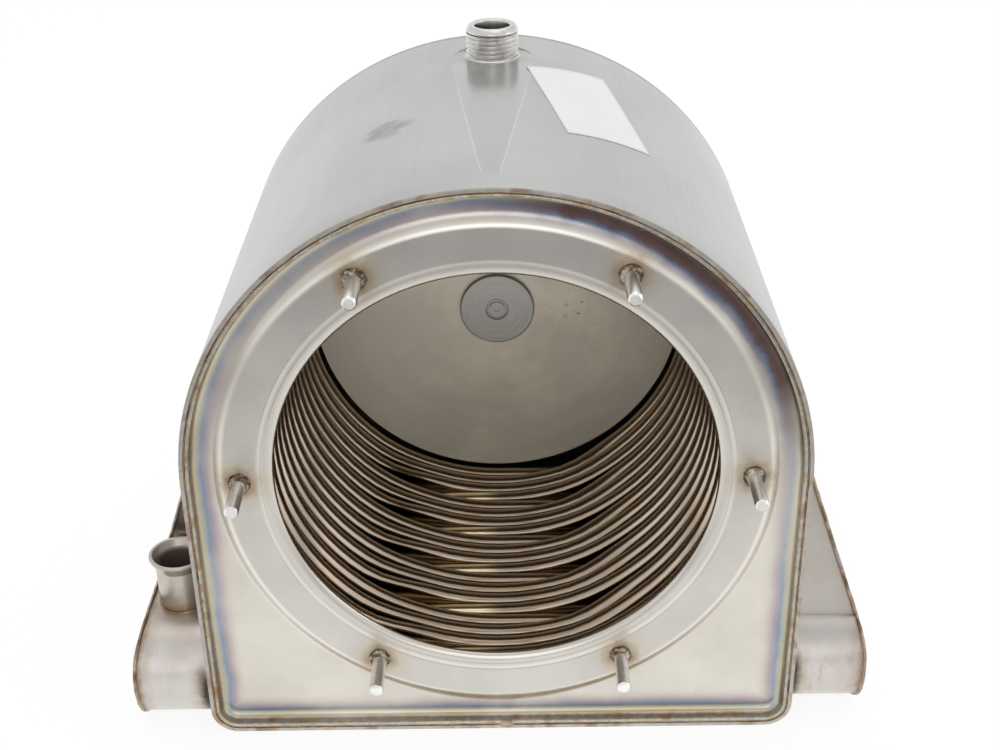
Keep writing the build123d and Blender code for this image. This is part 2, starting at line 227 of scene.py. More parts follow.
class Wire:
    """A value in a node tree; arithmetic on it adds Math nodes."""

    def __init__(self, graph, socket):
        self.graph = graph
        self.socket = socket

    def math(self, kind, *values):
        """A Math node on some values, in order."""
        return self.graph.node("ShaderNodeMath", {"operation": kind}, dict(enumerate(values)))

    __add__ = operation("ADD")
    __radd__ = operation("ADD", reflected=True)
    __sub__ = operation("SUBTRACT")
    __rsub__ = operation("SUBTRACT", reflected=True)
    __mul__ = operation("MULTIPLY")
    __rmul__ = operation("MULTIPLY", reflected=True)
    __truediv__ = operation("DIVIDE")
    __rtruediv__ = operation("DIVIDE", reflected=True)
    __gt__ = operation("GREATER_THAN")
    __lt__ = operation("LESS_THAN")
    __abs__ = operation("ABSOLUTE")
    root = operation("SQRT")
    least = operation("MINIMUM")
    most = operation("MAXIMUM")

    def rise(self, low, high):
        """0 below low, 1 above high and smooth between."""
        return self.graph.node(
            "ShaderNodeMapRange",
            {"interpolation_type": "SMOOTHSTEP"},
            {"Value": self, "From Min": low, "From Max": high},
        )

    def fall(self, low, high):
        """1 below low, 0 above high and smooth between."""
        return 1 - self.rise(low, high)

    def near(self, middle, reach):
        """1 at a middle value, 0 a reach away from it."""
        return abs(self - middle).fall(0, reach)


class Graph:
    """A node tree that expressions add to."""

    def __init__(self, tree):
        self.tree = tree

    def node(self, kind, settings, inputs, output=0):
        """Adds a node: settings are set first, then values or wires go to its sockets."""
        node = self.tree.nodes.new(kind)
        for name, value in settings.items():
            if name == "stops":
                self.set_stops(node.color_ramp, value)
            else:
                setattr(node, name, value)
        for name, value in inputs.items():
            self.feed(node.inputs[name], value)
        return Wire(self, node.outputs[output])

    def feed(self, socket, value):
        """Gives a socket a wire or a plain value."""
        if isinstance(value, Wire):
            self.tree.links.new(value.socket, socket)
        else:
            socket.default_value = value

    def set_stops(self, ramp, stops):
        """Gives a colour ramp its stops."""
        for stop in stops[2:]:
            ramp.elements.new(stop[0])
        for element, (place, colour) in zip(ramp.elements, stops):
            element.position = place
            element.color = (*colour, 1)


class Finish(Graph):
    """A metal finish built on object coordinates in millimetres, its colour laid on coat by coat."""

    def __init__(self, name, metallic=1.0):
        self.material = bpy.data.materials.new(name)
        self.material.use_nodes = True
        super().__init__(self.material.node_tree)
        self.shader = self.tree.nodes["Principled BSDF"]
        self.shader.inputs["Metallic"].default_value = metallic
        place = self.node("ShaderNodeTexCoord", {}, {}, "Object")
        self.place = self.vector("SCALE", place, 1 / mm)
        self.x = self.axis("X")
        self.y = self.axis("Y")
        self.z = self.axis("Z")
        self.tint = None

    def axis(self, letter):
        """One coordinate in millimetres."""
        return self.node("ShaderNodeSeparateXYZ", {}, {"Vector": self.place}, letter)

    def vector(self, kind, vector, other):
        """A Vector Math node; the other value is a number for SCALE and a vector for the rest."""
        second = "Scale" if kind == "SCALE" else 1
        return self.node("ShaderNodeVectorMath", {"operation": kind}, {0: vector, second: other})

    def noise(self, size, stretch=(1, 1, 1), detail=3.0, shift=0.0):
        """Noise with features of a size in millimetres, drawn out by a stretch."""
        freq = tuple(1 / (size * longer) for longer in stretch)
        vector = self.vector("MULTIPLY", self.place, freq)
        if shift:
            vector = self.vector("ADD", vector, (shift, shift * 0.7, shift * 1.3))
        return self.node(
            "ShaderNodeTexNoise", {}, {"Vector": vector, "Scale": 1.0, "Detail": detail, "Roughness": 0.55}
        )

    def wander(self, size, reach, stretch=(1, 1, 1)):
        """Noise that wanders half a reach to either side of zero."""
        return self.noise(size, stretch) * reach - reach / 2

    def swirl(self, size, radius, angle, arc, detail=3.0):
        """Noise drawn out along arcs round an axis."""
        vector = self.node("ShaderNodeCombineXYZ", {}, {"X": radius / size, "Y": angle / arc})
        return self.node("ShaderNodeTexNoise", {}, {"Vector": vector, "Scale": 1.0, "Detail": detail})

    def mix(self, factor, first, second):
        """A colour between two colours."""
        inputs = {0: factor, 6: self.colour(first), 7: self.colour(second)}
        return self.node("ShaderNodeMix", {"data_type": "RGBA"}, inputs, 2)

    def vary(self, factor, tone, first, second):
        """A tone that goes from one share of itself to another."""
        return self.mix(factor, shaded(tone, first), shaded(tone, second))

    def coat(self, factor, tone):
        """Lays a tone over the colour so far."""
        self.tint = self.mix(factor, self.tint, tone)

    def colour(self, value):
        """A wire as it is, or a colour with its alpha."""
        return value if isinstance(value, Wire) else (*value, 1)

    def ramp(self, value, *stops):
        """A colour from a value between 0 and 1."""
        return self.node("ShaderNodeValToRGB", {"stops": stops}, {"Fac": value})

    def polar(self):
        """Radius and angle about the chamber's axis."""
        rise = self.z - part().shell.axis_height / mm
        radius = (self.x * self.x + rise * rise).root()
        return radius, rise.math("ARCTAN2", rise, self.x)

    def bump(self, height, depth, strength):
        """Raises the surface by a height in 0 to 1, depth in millimetres."""
        inputs = {"Strength": strength, "Distance": depth * mm, "Height": height}
        self.feed(self.shader.inputs["Normal"], self.node("ShaderNodeBump", {}, inputs))

    def grain(self, size):
        """A fine, shallow roughness of the surface."""
        self.bump(self.noise(size, detail=4), 0.03, 0.25)

    def done(self, roughness):
        """Wires up the colour and a roughness and returns the material."""
        self.feed(self.shader.inputs["Base Color"], self.colour(self.tint))
        self.feed(self.shader.inputs["Roughness"], roughness)
        return self.material


def shaded(tone, share):
    """A tone made lighter or darker."""
    return [min(level * share, 1) for level in tone]


def outline_distance(finish):
    """Distance in millimetres inwards from the shell's outline."""
    half = part().shell.width / 2 / mm
    axis = part().shell.axis_height / mm
    above = finish.z > axis
    crown = half - finish.polar()[0]
    sides = (half - abs(finish.x)).least(finish.z)
    return above * crown + (1 - above) * sides


def stud_distance(finish):
    """Distance in millimetres from the nearest stud's axis."""
    radius, angle = finish.polar()
    circle = stud_circle() / mm
    share = 2 * math.pi / stud_count
    turn = angle.math("WRAP", angle, share / 2, -share / 2)
    along = radius * turn.math("COSINE", turn) - circle
    across = radius * turn.math("SINE", turn)
    return (along * along + across * across).root()


def shell_finish():
    """Satin sheet: rolling streaks, a scuff, tints at both edges and a painted highlight along the pad's
    fold.
    """
    tones = part().tones
    shell = part().shell
    finish = Finish("satin_shell_steel")
    streaks = finish.noise(1.6, (1, 60, 1), detail=4)
    clouds = finish.noise(46, (1, 1.6, 1), detail=3)
    finish.tint = finish.vary(clouds.rise(0.3, 0.75), tones.shell, 0.93, 1.05)
    finish.coat(streaks.rise(0.35, 0.7) * 0.06, shaded(tones.shell, 0.8))
    scuff_spot = Vector((-38.0, front_y / mm + 75, 213.0))
    offset = finish.vector("SUBTRACT", finish.place, tuple(scuff_spot))
    reach = finish.node("ShaderNodeVectorMath", {"operation": "LENGTH"}, {0: offset}, "Value")
    scuff = (reach + finish.wander(6, 12, (2, 1, 1))).fall(5, 11)
    scuff = scuff * (0.55 + finish.noise(1.6, (4, 1, 1), detail=2).rise(0.35, 0.65) * 0.45)
    finish.coat(scuff * 0.45, (0.24, 0.24, 0.24))
    front = finish.y - front_y / mm
    back = back_y / mm - finish.y
    wander = finish.wander(9, 3)
    scorch = finish.ramp(
        finish.noise(13, detail=4, shift=5.0),
        (0.3, (0.15, 0.11, 0.09)),
        (0.4, (0.34, 0.24, 0.18)),
        (0.48, (0.5, 0.46, 0.39)),
        (0.58, (0.4, 0.36, 0.32)),
        (0.7, (0.52, 0.52, 0.51)),
    )
    finish.coat((front + wander * 0.3).fall(0.1, 1.2) * 0.15, tones.straw)
    finish.coat((front + wander * 0.15).fall(0.1, 0.7) * 0.8, scorch)
    finish.coat((back + wander * 0.5).fall(0.5, 3.5) * 0.6, tones.bronze)
    tip = front_y / mm + shell.pad_tip_setback / mm
    shoulder = nozzle_low.y / mm
    slope = (shell.pad_width - shell.pad_tip_width) / mm / (shoulder - tip)
    edge = abs(finish.x) - shell.pad_tip_width / mm - (finish.y - tip) * slope
    crown_from = 150
    on_top = (finish.z > crown_from) * (finish.y - tip).rise(-1, 1) * (shoulder - finish.y).rise(-1, 2)
    # Painted highlight: a pale line along the pad's fold.
    crease_highlight = edge.near(0, 0.6) * on_top * (shoulder - finish.y).rise(8, 50)
    finish.coat(crease_highlight * 0.4, (0.85, 0.85, 0.84))
    pad = edge.fall(-0.4, 0.2) * on_top
    finish.coat(pad * 0.55, shaded(tones.shell, 0.8))
    rough = 0.32 + streaks * 0.08 + clouds * 0.06 - pad * 0.2 + scuff * 0.2
    finish.bump(streaks, 0.02, 0.1)
    return finish.done(rough)


def plate_finish():
    """Front plate: grey ring with painted shade towards its top, a painted highlight on its outer bend, a
    painted reflection on the slope, a pale lip with a painted highlight on its edge, sunk plate with a
    rainbow of heat tints along the rim.
    """
    tones = part().tones
    front = part().front
    finish = Finish("tinted_plate_steel")
    radius, angle = finish.polar()
    clouds = finish.noise(28, detail=4)
    fine = finish.noise(2.2, detail=5)
    ring_edge = front.ring_radius / mm
    ring = radius.fall(ring_edge - 0.5, ring_edge + 0.8)
    finish.tint = finish.vary(clouds.rise(0.3, 0.7), tones.plate, 0.92, 1.06)
    ring_colour = finish.vary(clouds.rise(0.35, 0.7), tones.ring, 0.95, 1.06)
    finish.coat(ring, ring_colour)
    # Painted shade: the ring grows darker towards its top.
    top = finish.z.rise(165, 200)
    finish.coat(top * 0.35, shaded(tones.ring, 0.6))
    # Painted highlight along the ring's outer bend.
    ridge_highlight = radius.near(ring_edge + 0.5, 1.7)
    finish.coat(ridge_highlight * 0.8, (0.86, 0.83, 0.75))
    # Painted reflection: a pale band on the slope at the lower left, where it faces the bright floor.
    slope_middle = ring_edge + front.slope_width / 2 / mm
    slope = radius.near(slope_middle, 3.2) * angle.near(-2.3, 1.1)
    finish.coat(slope * 0.6, (0.93, 0.9, 0.86))
    lip_edge = (front.opening_radius + front.lip_width) / mm
    lip = radius.fall(lip_edge - 0.8, lip_edge + 0.6)
    finish.coat(lip * 0.4, tones.cream)
    # Painted highlight: a bright line along the lip's edge.
    finish.coat(radius.near(lip_edge + 0.2, 0.9) * 0.6, (0.88, 0.86, 0.8))
    distance = outline_distance(finish)
    wander = finish.wander(18, 3.6)
    depth = distance + wander
    strength = finish.noise(34, detail=2, shift=7.0).rise(0.25, 0.62)
    tint = finish.ramp(
        ((depth - 1.5) / 14).least(1).most(0),
        (0.0, tones.bronze),
        (0.12, (0.42, 0.31, 0.17)),
        (0.19, (0.5, 0.41, 0.26)),
        (0.28, (0.38, 0.41, 0.36)),
        (0.37, (0.23, 0.29, 0.4)),
        (0.5, tones.violet),
        (0.66, (0.55, 0.48, 0.44)),
        (1.0, tones.plate),
    )
    amount = depth.fall(8, 15) * (0.45 + strength * 0.5) * (1 - angle.near(0, 0.7) * 0.5)
    finish.coat(amount, tint)
    burnt = angle.near(0.85, 0.95) * depth.fall(9.0, 13.0)
    burnt_tint = finish.ramp(
        ((depth + finish.noise(9, detail=2, shift=9.0) * 4 - 6) / 9).least(1).most(0),
        (0.0, (0.06, 0.04, 0.035)),
        (0.3, (0.13, 0.075, 0.06)),
        (0.45, (0.13, 0.09, 0.12)),
        (0.6, (0.17, 0.22, 0.28)),
        (0.78, (0.38, 0.35, 0.4)),
        (1.0, (0.54, 0.51, 0.48)),
    )
    finish.coat((burnt * 2).least(0.95), burnt_tint)
    rim = distance.fall(3.0, 4.2)
    rim_tint = finish.ramp(
        finish.noise(7, detail=3, shift=3.0),
        (0.3, tones.bronze),
        (0.4, (0.4, 0.33, 0.24)),
        (0.5, (0.55, 0.5, 0.42)),
        (0.58, (0.34, 0.36, 0.37)),
        (0.66, (0.5, 0.42, 0.26)),
        (0.74, tones.rust),
    )
    finish.coat(rim * 0.8, rim_tint)
    halo = stud_distance(finish) + finish.noise(4, detail=4) * 5 - 2.5
    finish.coat(halo.fall(4.0, 14.0) * 0.45, (0.5, 0.4, 0.24))
    finish.coat(halo.fall(3.0, 8.5) * 0.7, tones.bronze)
    finish.coat(halo.fall(2.5, 5.0) * 0.7, tones.soot)
    spots = finish.noise(2.6, detail=2, shift=11.0).rise(0.66, 0.74) * distance.fall(4, 20)
    finish.coat(spots * 0.3, tones.bronze)
    finish.bump(fine, 0.03, 0.25)
    return finish.done(0.2 + clouds * 0.1 + fine * 0.08 - lip * 0.04)


def seam_finish():
    """Bronze weld with straw, violet and blue-grey patches."""
    tones = part().tones
    finish = Finish("tinted_weld_steel")
    patch = finish.noise(11, detail=4)
    finish.tint = finish.ramp(
        patch,
        (0.28, (0.1, 0.075, 0.06)),
        (0.42, (0.3, 0.21, 0.14)),
        (0.5, (0.46, 0.38, 0.27)),
        (0.58, (0.34, 0.24, 0.18)),
        (0.66, (0.36, 0.37, 0.38)),
        (0.74, tones.bronze),
    )
    ripple = finish.noise(1.1, detail=3)
    finish.bump(ripple, 0.2, 0.6)
    return finish.done(0.34 + ripple * 0.15)


def soot_finish():
    """Burnt weld bead, dark brown with silvery crests."""
    tones = part().tones
    finish = Finish("burnt_weld_steel")
    patch = finish.noise(2.4, detail=5)
    finish.tint = finish.ramp(
        patch,
        (0.3, tones.soot),
        (0.45, (0.16, 0.11, 0.07)),
        (0.55, (0.36, 0.31, 0.26)),
        (0.68, (0.62, 0.6, 0.57)),
    )
    finish.bump(patch, 0.3, 0.7)
    return finish.done(0.32 + patch * 0.2)


def coil_finish():
    """Drawn tube: brown crest partly painted shade, golden flanks, painted shade in the gaps and towards the
    back and the bottom, and a painted highlight on the leads on the left.
    """
    tones = part().tones
    finish = Finish("drawn_tube_steel")
    radius, angle = finish.polar()
    inner = part().coils.inner_radius / mm
    patch = finish.noise(24, detail=3)
    stripe = finish.swirl(0.5, radius + finish.y, angle, 0.6)
    finish.tint = finish.vary(patch.rise(0.35, 0.7), tones.coil, 1, 0.86)
    level = part().shell.axis_height / mm - inner
    far_off = 100
    below = (level - finish.z).most(0) + (finish.z > level) * far_off
    half = part().coils.tube_thickness / 2 / mm
    depth = (radius - inner).least(below) / half
    # Brown on the crest: the tube's warm tone, and painted shade where the crest faces the dark inside.
    crest = depth.fall(0.15, 0.38)
    finish.coat(crest * 0.65, (0.34, 0.235, 0.14))
    flank = depth.rise(0.38, 0.66)
    finish.coat(flank * 0.6, tones.coil_gold)
    # Painted shade deep in the gaps between the turns.
    gap = depth.rise(0.54, 0.92)
    finish.coat(gap * 0.85, (0.16, 0.11, 0.07))
    # Painted shade: the tubes grow darker towards the back and towards the bottom.
    coil_shade_tone = (0.16, 0.115, 0.07)
    rear = finish.y.rise(-50, 55)
    finish.coat(rear * 0.4, coil_shade_tone)
    bottom = finish.z.fall(30, 62)
    finish.coat(bottom * 0.4, coil_shade_tone)
    places = [middle_of(f"coil_{index}").y / mm for index in (1, 2)]
    spacing = places[1] - places[0]
    first = places[0] - part().coils.turns / 2 * part().coils.crowded_spacing / mm
    across = finish.y.math("WRAP", finish.y - first, spacing / 2, -spacing / 2)
    # Painted highlight on the lead runs on the left, where they catch light from above.
    lead_highlight = abs(across).fall(half * 0.8, half) * finish.x.fall(-10, 2)
    lead_highlight = lead_highlight * (finish.z < level + 0.4) * below.fall(1.4, 3)
    finish.coat(lead_highlight * 0.9, (1.0, 0.84, 0.57))
    finish.coat(stripe.rise(0.5, 0.75) * 0.35, tones.coil_gold)
    return finish.done(0.14 + stripe * 0.08)


def disc_finish():
    """Rear disc: steel brushed in circles, with painted light on the left, and smudged beside the plug."""
    tones = part().tones
    finish = Finish("brushed_disc_steel", metallic=0.6)
    radius, angle = finish.polar()
    brush = finish.swirl(0.5, radius, angle, 0.5, detail=4)
    wide = finish.swirl(7.0, radius, angle, 0.9, detail=2)
    patch = finish.noise(30, detail=4)
    finish.tint = finish.vary(patch.rise(0.3, 0.7), tones.disc, 0.9, 1.1)
    finish.coat(brush.rise(0.35, 0.7) * 0.3, shaded(tones.disc, 1.25))
    finish.coat(wide.rise(0.45, 0.7) * 0.2, shaded(tones.disc, 0.75))
    # Painted light: the disc grows paler towards the left.
    left = (finish.x * -1).rise(0, 75)
    finish.coat(left * 0.9, (1.0, 0.95, 0.83))
    smudge = finish.noise(4.5, (1, 1, 0.6), detail=4).rise(0.6, 0.68)
    smudge = smudge * (finish.x - 32).near(0, 16) * finish.z.near(112, 22)
    finish.coat(smudge * 0.65, tones.soot)
    finish.bump(brush, 0.02, 0.3)
    return finish.done(0.46 + brush * 0.16)


def plug_finish():
    """Turned washer plate with fine rings and a dark outline."""
    tones = part().tones
    finish = Finish("turned_plug_steel")
    radius, angle = finish.polar()
    rings = finish.swirl(0.35, radius, angle, 1.2)
    finish.tint = finish.vary(rings.rise(0.35, 0.7), tones.plug, 0.9, 1.12)
    plug_edge = radius.rise(15.1, 15.7)
    finish.coat(plug_edge * 0.8, tones.soot)
    screw_edge = radius.near(4.4, 0.9)
    finish.coat(screw_edge * 0.35, tones.soot)
    return finish.done(0.36 + rings * 0.1)


def bright_finish(name, share, rough):
    """Machined bright steel with fine turning marks, a share lighter or darker than its tone."""
    finish = Finish(name)
    grain = finish.noise(0.8, detail=4)
    wear = finish.noise(5, detail=3)
    finish.tint = finish.vary(wear.rise(0.4, 0.7), part().tones.bright, share, share * 0.85)
    return finish.done(rough + grain * 0.12)


def header_finish():
    """Pickled header ends: painted shade towards the foot and on the right header's upper part, warm bands
    along the welds, soot beside the front plate, drips on the nose.
    """
    tones = part().tones
    header = part().headers
    finish = Finish("pickled_header_steel")
    wall = part().shell.width / 2 / mm
    out = abs(finish.x) - wall
    patch = finish.noise(17, (1, 1, 1.5), detail=4)
    drips = finish.noise(5, (1, 1, 5), detail=4)
    finish.tint = finish.mix(patch.rise(0.35, 0.68) * 0.5, tones.header, tones.header_warm)
    # Painted shade: darker towards the foot.
    foot = finish.z.fall(16, 36)
    finish.coat(foot * 0.6, (0.56, 0.53, 0.48))
    slant = (header.top / mm - finish.z) * (header.reach / (header.top - header.knee))
    edge = slant.least(header.reach / mm) - out
    wander = finish.wander(5, 5)
    finish.coat((edge + wander * 1.6).fall(1, 8) * 0.5, (0.42, 0.32, 0.23))
    finish.coat((edge + wander).fall(0.5, 3.5) * 0.8, tones.weld_brown)
    left = finish.x < 0
    # Painted shade: the right header is darker above its foot.
    grey = (1 - left) * finish.z.rise(22, 44)
    finish.coat(grey * 0.85, (0.43, 0.4, 0.365))
    taupe = left * (finish.z + wander).rise(33, 40)
    finish.coat(taupe * 0.4, (0.37, 0.295, 0.22))
    beside = finish.z.fall(22, 34) * (finish.y < 0)
    finish.coat((out + wander).fall(2, 8) * beside * 0.5, tones.bronze)
    finish.coat((out + wander * 0.6).fall(1, 4.5) * beside * 0.95, tones.soot)
    dripped = drips.rise(0.58, 0.7) * finish.z.fall(24, 44)
    finish.coat(dripped * 0.25, tones.bronze)
    finish.grain(1.4)
    return finish.done(0.3 + patch * 0.12)


def cover_finish(side):
    """Slanted cover of a header: pickled sheet with heat tints along the welds at its ends and its top."""
    tones = part().tones
    header = part().headers
    finish = Finish(side + "_cover_steel")
    low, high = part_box(f"{side}_header_cover")
    radius = header.nose_radius / mm
    rise = finish.z - radius
    nose = low.y / mm + radius - (radius ** 2 - rise * rise).most(0).root()
    on_nose = finish.z < 2 * radius
    front = on_nose * nose + (1 - on_nose) * (header_face(side) / mm)
    patch = finish.noise(26, (1, 2, 1), detail=4)
    finish.tint = finish.mix(patch.rise(0.35, 0.68) * 0.45, tones.header, tones.header_warm)
    wander = finish.wander(7, 5)
    edge = (finish.y - front).least(high.y / mm - finish.y).least(header.top / mm - finish.z) + wander
    finish.coat(edge.fall(2, 9) * 0.35, (0.42, 0.33, 0.24))
    finish.coat(edge.fall(0.3, 4) * 0.75, tones.weld_brown)
    finish.grain(1.4)
    return finish.done(0.32 + patch * 0.12)


def pipe_finish():
    """Water pipe: pale drawn steel, burnt at its foot and brown inside its mouth."""
    tones = part().tones
    finish = Finish("drawn_pipe_steel")
    foot = part().headers.nose_radius * 2 / mm
    patch = finish.noise(9, detail=4)
    finish.tint = finish.mix(patch.rise(0.35, 0.7), (0.56, 0.53, 0.47), (0.47, 0.44, 0.385))
    rise = finish.z - foot + finish.wander(4, 4)
    finish.coat(rise.fall(0, 9) * 0.5, tones.straw)
    finish.coat(rise.fall(-2, 5) * 0.85, tones.bronze)
    middle = middle_of("left_pipe") / mm
    aside = finish.x - middle.x
    behind = finish.y - middle.y
    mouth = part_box("left_pipe")[1].z / mm
    inside = (aside * aside + behind * behind).root().fall(8.1, 8.5) * finish.z.fall(mouth - 4, mouth - 1)
    finish.coat(inside * 0.85, (0.3, 0.24, 0.19))
    return finish.done(0.3 + patch * 0.1 + inside * 0.3)


def outlet_finish(name, rimmed):
    """Plain drawn collars and the back plate, which has a bronze weld line along its rim."""
    tones = part().tones
    finish = Finish(name)
    patch = finish.noise(22, detail=4)
    finish.tint = finish.vary(patch.rise(0.3, 0.7), tones.plate, 0.9, 1)
    if rimmed:
        distance = outline_distance(finish) + finish.wander(10, 5)
        finish.coat(distance.fall(3, 9) * 0.5, (0.5, 0.42, 0.29))
        finish.coat(distance.fall(2, 5) * 0.8, tones.bronze)
    finish.grain(1.8)
    return finish.done(0.28 + patch * 0.12)


def paper_finish():
    """Blank paper sticker with a faint fibre."""
    tones = part().tones
    finish = Finish("blank_paper", metallic=0.0)
    fibre = finish.noise(0.9, detail=4)
    cloud = finish.noise(14, detail=3)
    finish.tint = finish.vary(cloud.rise(0.35, 0.7) * 0.5, tones.paper, 1, 0.95)
    finish.bump(fibre, 0.02, 0.3)
    return finish.done(0.55 + fibre * 0.1)


# Mesh tools


def add_object(name, data):
    """Puts a new object into the scene."""
    thing = bpy.data.objects.new(name, data)
    bpy.context.scene.collection.objects.link(thing)
    return thing


def middle_of(node):
    """Middle of a solid's box."""
    low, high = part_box(node)
    return (low + high) / 2


def points_of(geom):
    """The vertices among the items that an operator made."""
    return [item for item in geom if isinstance(item, bmesh.types.BMVert)]


def boundary(bm):
    """The edges that have one face."""
    return [edge for edge in bm.edges if edge.is_boundary]


def merge(bm, distance=mm / 1000):
    """Joins points that lie together."""
    bmesh.ops.remove_doubles(bm, verts=bm.verts[:], dist=distance)


def cut(bm, geom, place, normal):
    """Cuts faces along a plane."""
    return bmesh.ops.bisect_plane(bm, geom=geom, plane_co=place, plane_no=normal, dist=mm / 1000)["geom"]


def sweep_point(bm, vert, centre, axis, angle, steps):
    """Draws an arc from a vertex and returns its last one."""
    return bmesh.ops.spin(bm, geom=[vert], cent=centre, axis=axis, angle=angle, steps=steps)["geom_last"][0]


def finish_piece(name, bm, finishes, nodes=(), sharp=32.0, recalculate=True):
    """Makes an object of a bmesh, rides it on the frame and hides the nodes that it stands for."""
    if recalculate:
        bmesh.ops.recalc_face_normals(bm, faces=bm.faces[:])
    limit = math.radians(sharp)
    for face in bm.faces:
        face.smooth = True
    for edge in bm.edges:
        edge.smooth = len(edge.link_faces) != 2 or edge.calc_face_angle() < limit
    mesh = bpy.data.meshes.new(name)
    bm.to_mesh(mesh)
    bm.free()
    for finish in finishes:
        mesh.materials.append(finish)
    piece = add_object(name, mesh)
    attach(piece, "root")
    if nodes:
        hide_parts(*nodes)
    return piece


def skin_node(node, finish, shape=None):
    """A smooth-shaded copy of a solid that stands for it, shaped further if need be."""
    bm = bmesh.new()
    bm.from_mesh(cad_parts[node].data)
    merge(bm, mm / 500)
    if shape:
        shape(bm)
    return finish_piece(node + "_skin", bm, [finish], [node], recalculate=False)


def chain(bm, points):
    """A line of edges through a few points."""
    verts = [bm.verts.new(point) for point in points]
    edges = [bm.edges.new(pair) for pair in zip(verts, verts[1:])]
    return verts + edges


def arch_loop(bm, inset, y):
    """A closed loop along the shell's outline, drawn inside its outer face by an inset."""
    shell = part().shell
    half = shell.width / 2 - inset
    corner = shell.corner - inset
    axis = shell.axis_height
    turn = (0, -1, 0)
    start = bm.verts.new((half, y, axis))
    last = sweep_point(bm, start, (0, y, axis), turn, math.pi, 96)
    straights = []
    for side in (-1, 1):
        foot = bmesh.ops.extrude_vert_indiv(bm, verts=[last])
        straights += foot["edges"]
        last = foot["verts"][0]
        last.co = (-half, y, inset + corner) if side < 0 else (half - corner, y, inset)
        centre = (side * (half - corner), y, inset + corner)
        last = sweep_point(bm, last, centre, turn, math.pi / 2, 8)
    straights.append(bm.edges.new((last, start)))
    bmesh.ops.subdivide_edges(bm, edges=straights, cuts=11)


def outward(point):
    """Direction straight out of the shell's outline at a point along it."""
    shell = part().shell
    foot_x = shell.width / 2 - shell.corner
    if point.z >= shell.axis_height:
        return Vector((point.x, 0, point.z - shell.axis_height)).normalized()
    if abs(point.x) > foot_x and point.z < shell.corner:
        return Vector((point.x - math.copysign(foot_x, point.x), 0, point.z - shell.corner)).normalized()
    if abs(point.x) > foot_x:
        return Vector((math.copysign(1, point.x), 0, 0))
    return Vector((0, 0, -1))


def hoop(bm, profile):
    """Sheet carried round the shell's outline, its profile given as insets and places along Y."""
    before = set(bm.edges)
    arch_loop(bm, *profile[0])
    edges = [edge for edge in bm.edges if edge not in before]
    for (inset, _), (next_inset, next_y) in zip(profile, profile[1:]):
        grown = bmesh.ops.extrude_edge_only(bm, edges=edges)["geom"]
        fresh = set(points_of(grown))
        edges = [item for item in grown if isinstance(item, bmesh.types.BMEdge) and set(item.verts) <= fresh]
        for vert in fresh:
            vert.co += outward(vert.co) * (inset - next_inset)
            vert.co.y = next_y


def spin_profile(bm, points, centre, axis, steps):
    """A closed turn of a profile about an axis."""
    bmesh.ops.spin(
        bm, geom=chain(bm, points), cent=centre, axis=axis, angle=2 * math.pi, steps=steps, use_merge=True
    )


def turn_upright(bm, profile, steps):
    """A closed turn about the Z axis of a profile given as radii and heights."""
    spin_profile(bm, [(radius, 0, z) for radius, z in profile], (0, 0, 0), (0, 0, 1), steps)


def rounded(pairs, radius, segments):
    """A flat profile, given as pairs, with its inner corners rounded off."""
    bm = bmesh.new()
    line = chain(bm, [(*pair, 0) for pair in pairs])
    bmesh.ops.bevel(
        bm,
        geom=points_of(line)[1:-1],
        offset=radius,
        offset_type="OFFSET",
        affect="VERTICES",
        segments=segments,
        profile=0.5,
        material=-1,
    )
    here = min(bm.verts, key=lambda vert: (vert.co.xy - Vector(pairs[0])).length)
    walk = [here]
    came = None
    while True:
        ahead = [edge for edge in here.link_edges if edge is not came]
        if not ahead:
            break
        came = ahead[0]
        here = came.other_vert(here)
        walk.append(here)
    result = [tuple(vert.co.xy) for vert in walk]
    bm.free()
    return result


def round_cut(bm, geom, centre, radius, sweep, steps):
    """Cuts faces along the sides of an upright round outline."""
    for step in range(steps):
        angle = sweep * (step + 0.5) / steps
        normal = Vector((math.cos(angle), math.sin(angle), 0))
        geom = cut(bm, geom, centre + normal * radius * math.cos(sweep / steps / 2), normal)


def thread(bm, radius, depth, pitch, height, steps):
    """A screw thread up the Z axis: one pitch of its profile is spun and lifted turn by turn."""
    turns = math.ceil(height / pitch) + 2
    core = radius - depth
    profile = (
        (core, 0, 0),
        (core, 0, 0.14 * pitch),
        (radius, 0, 0.46 * pitch),
        (radius, 0, 0.68 * pitch),
        (core, 0, pitch),
    )
    geom = chain(bm, [Vector(point) - Vector((0, 0, pitch)) for point in profile])
    bmesh.ops.spin(
        bm,
        geom=geom,
        cent=(0, 0, 0),
        axis=(0, 0, 1),
        dvec=(0, 0, pitch / steps),
        angle=2 * math.pi * turns,
        steps=turns * steps,
    )
    merge(bm, pitch / 100)
    for place, cut in ((0, {"clear_inner": True}), (height, {"clear_outer": True})):
        geom = bm.verts[:] + bm.edges[:] + bm.faces[:]
        bmesh.ops.bisect_plane(bm, geom=geom, plane_co=(0, 0, place), plane_no=(0, 0, 1), **cut)


def roughen(verts, amount, size):
    """Moves points a little, the same way each run."""
    noise.seed_set(bead_seed)
    for vert in verts:
        vert.co += noise.noise_vector(vert.co / size) * amount


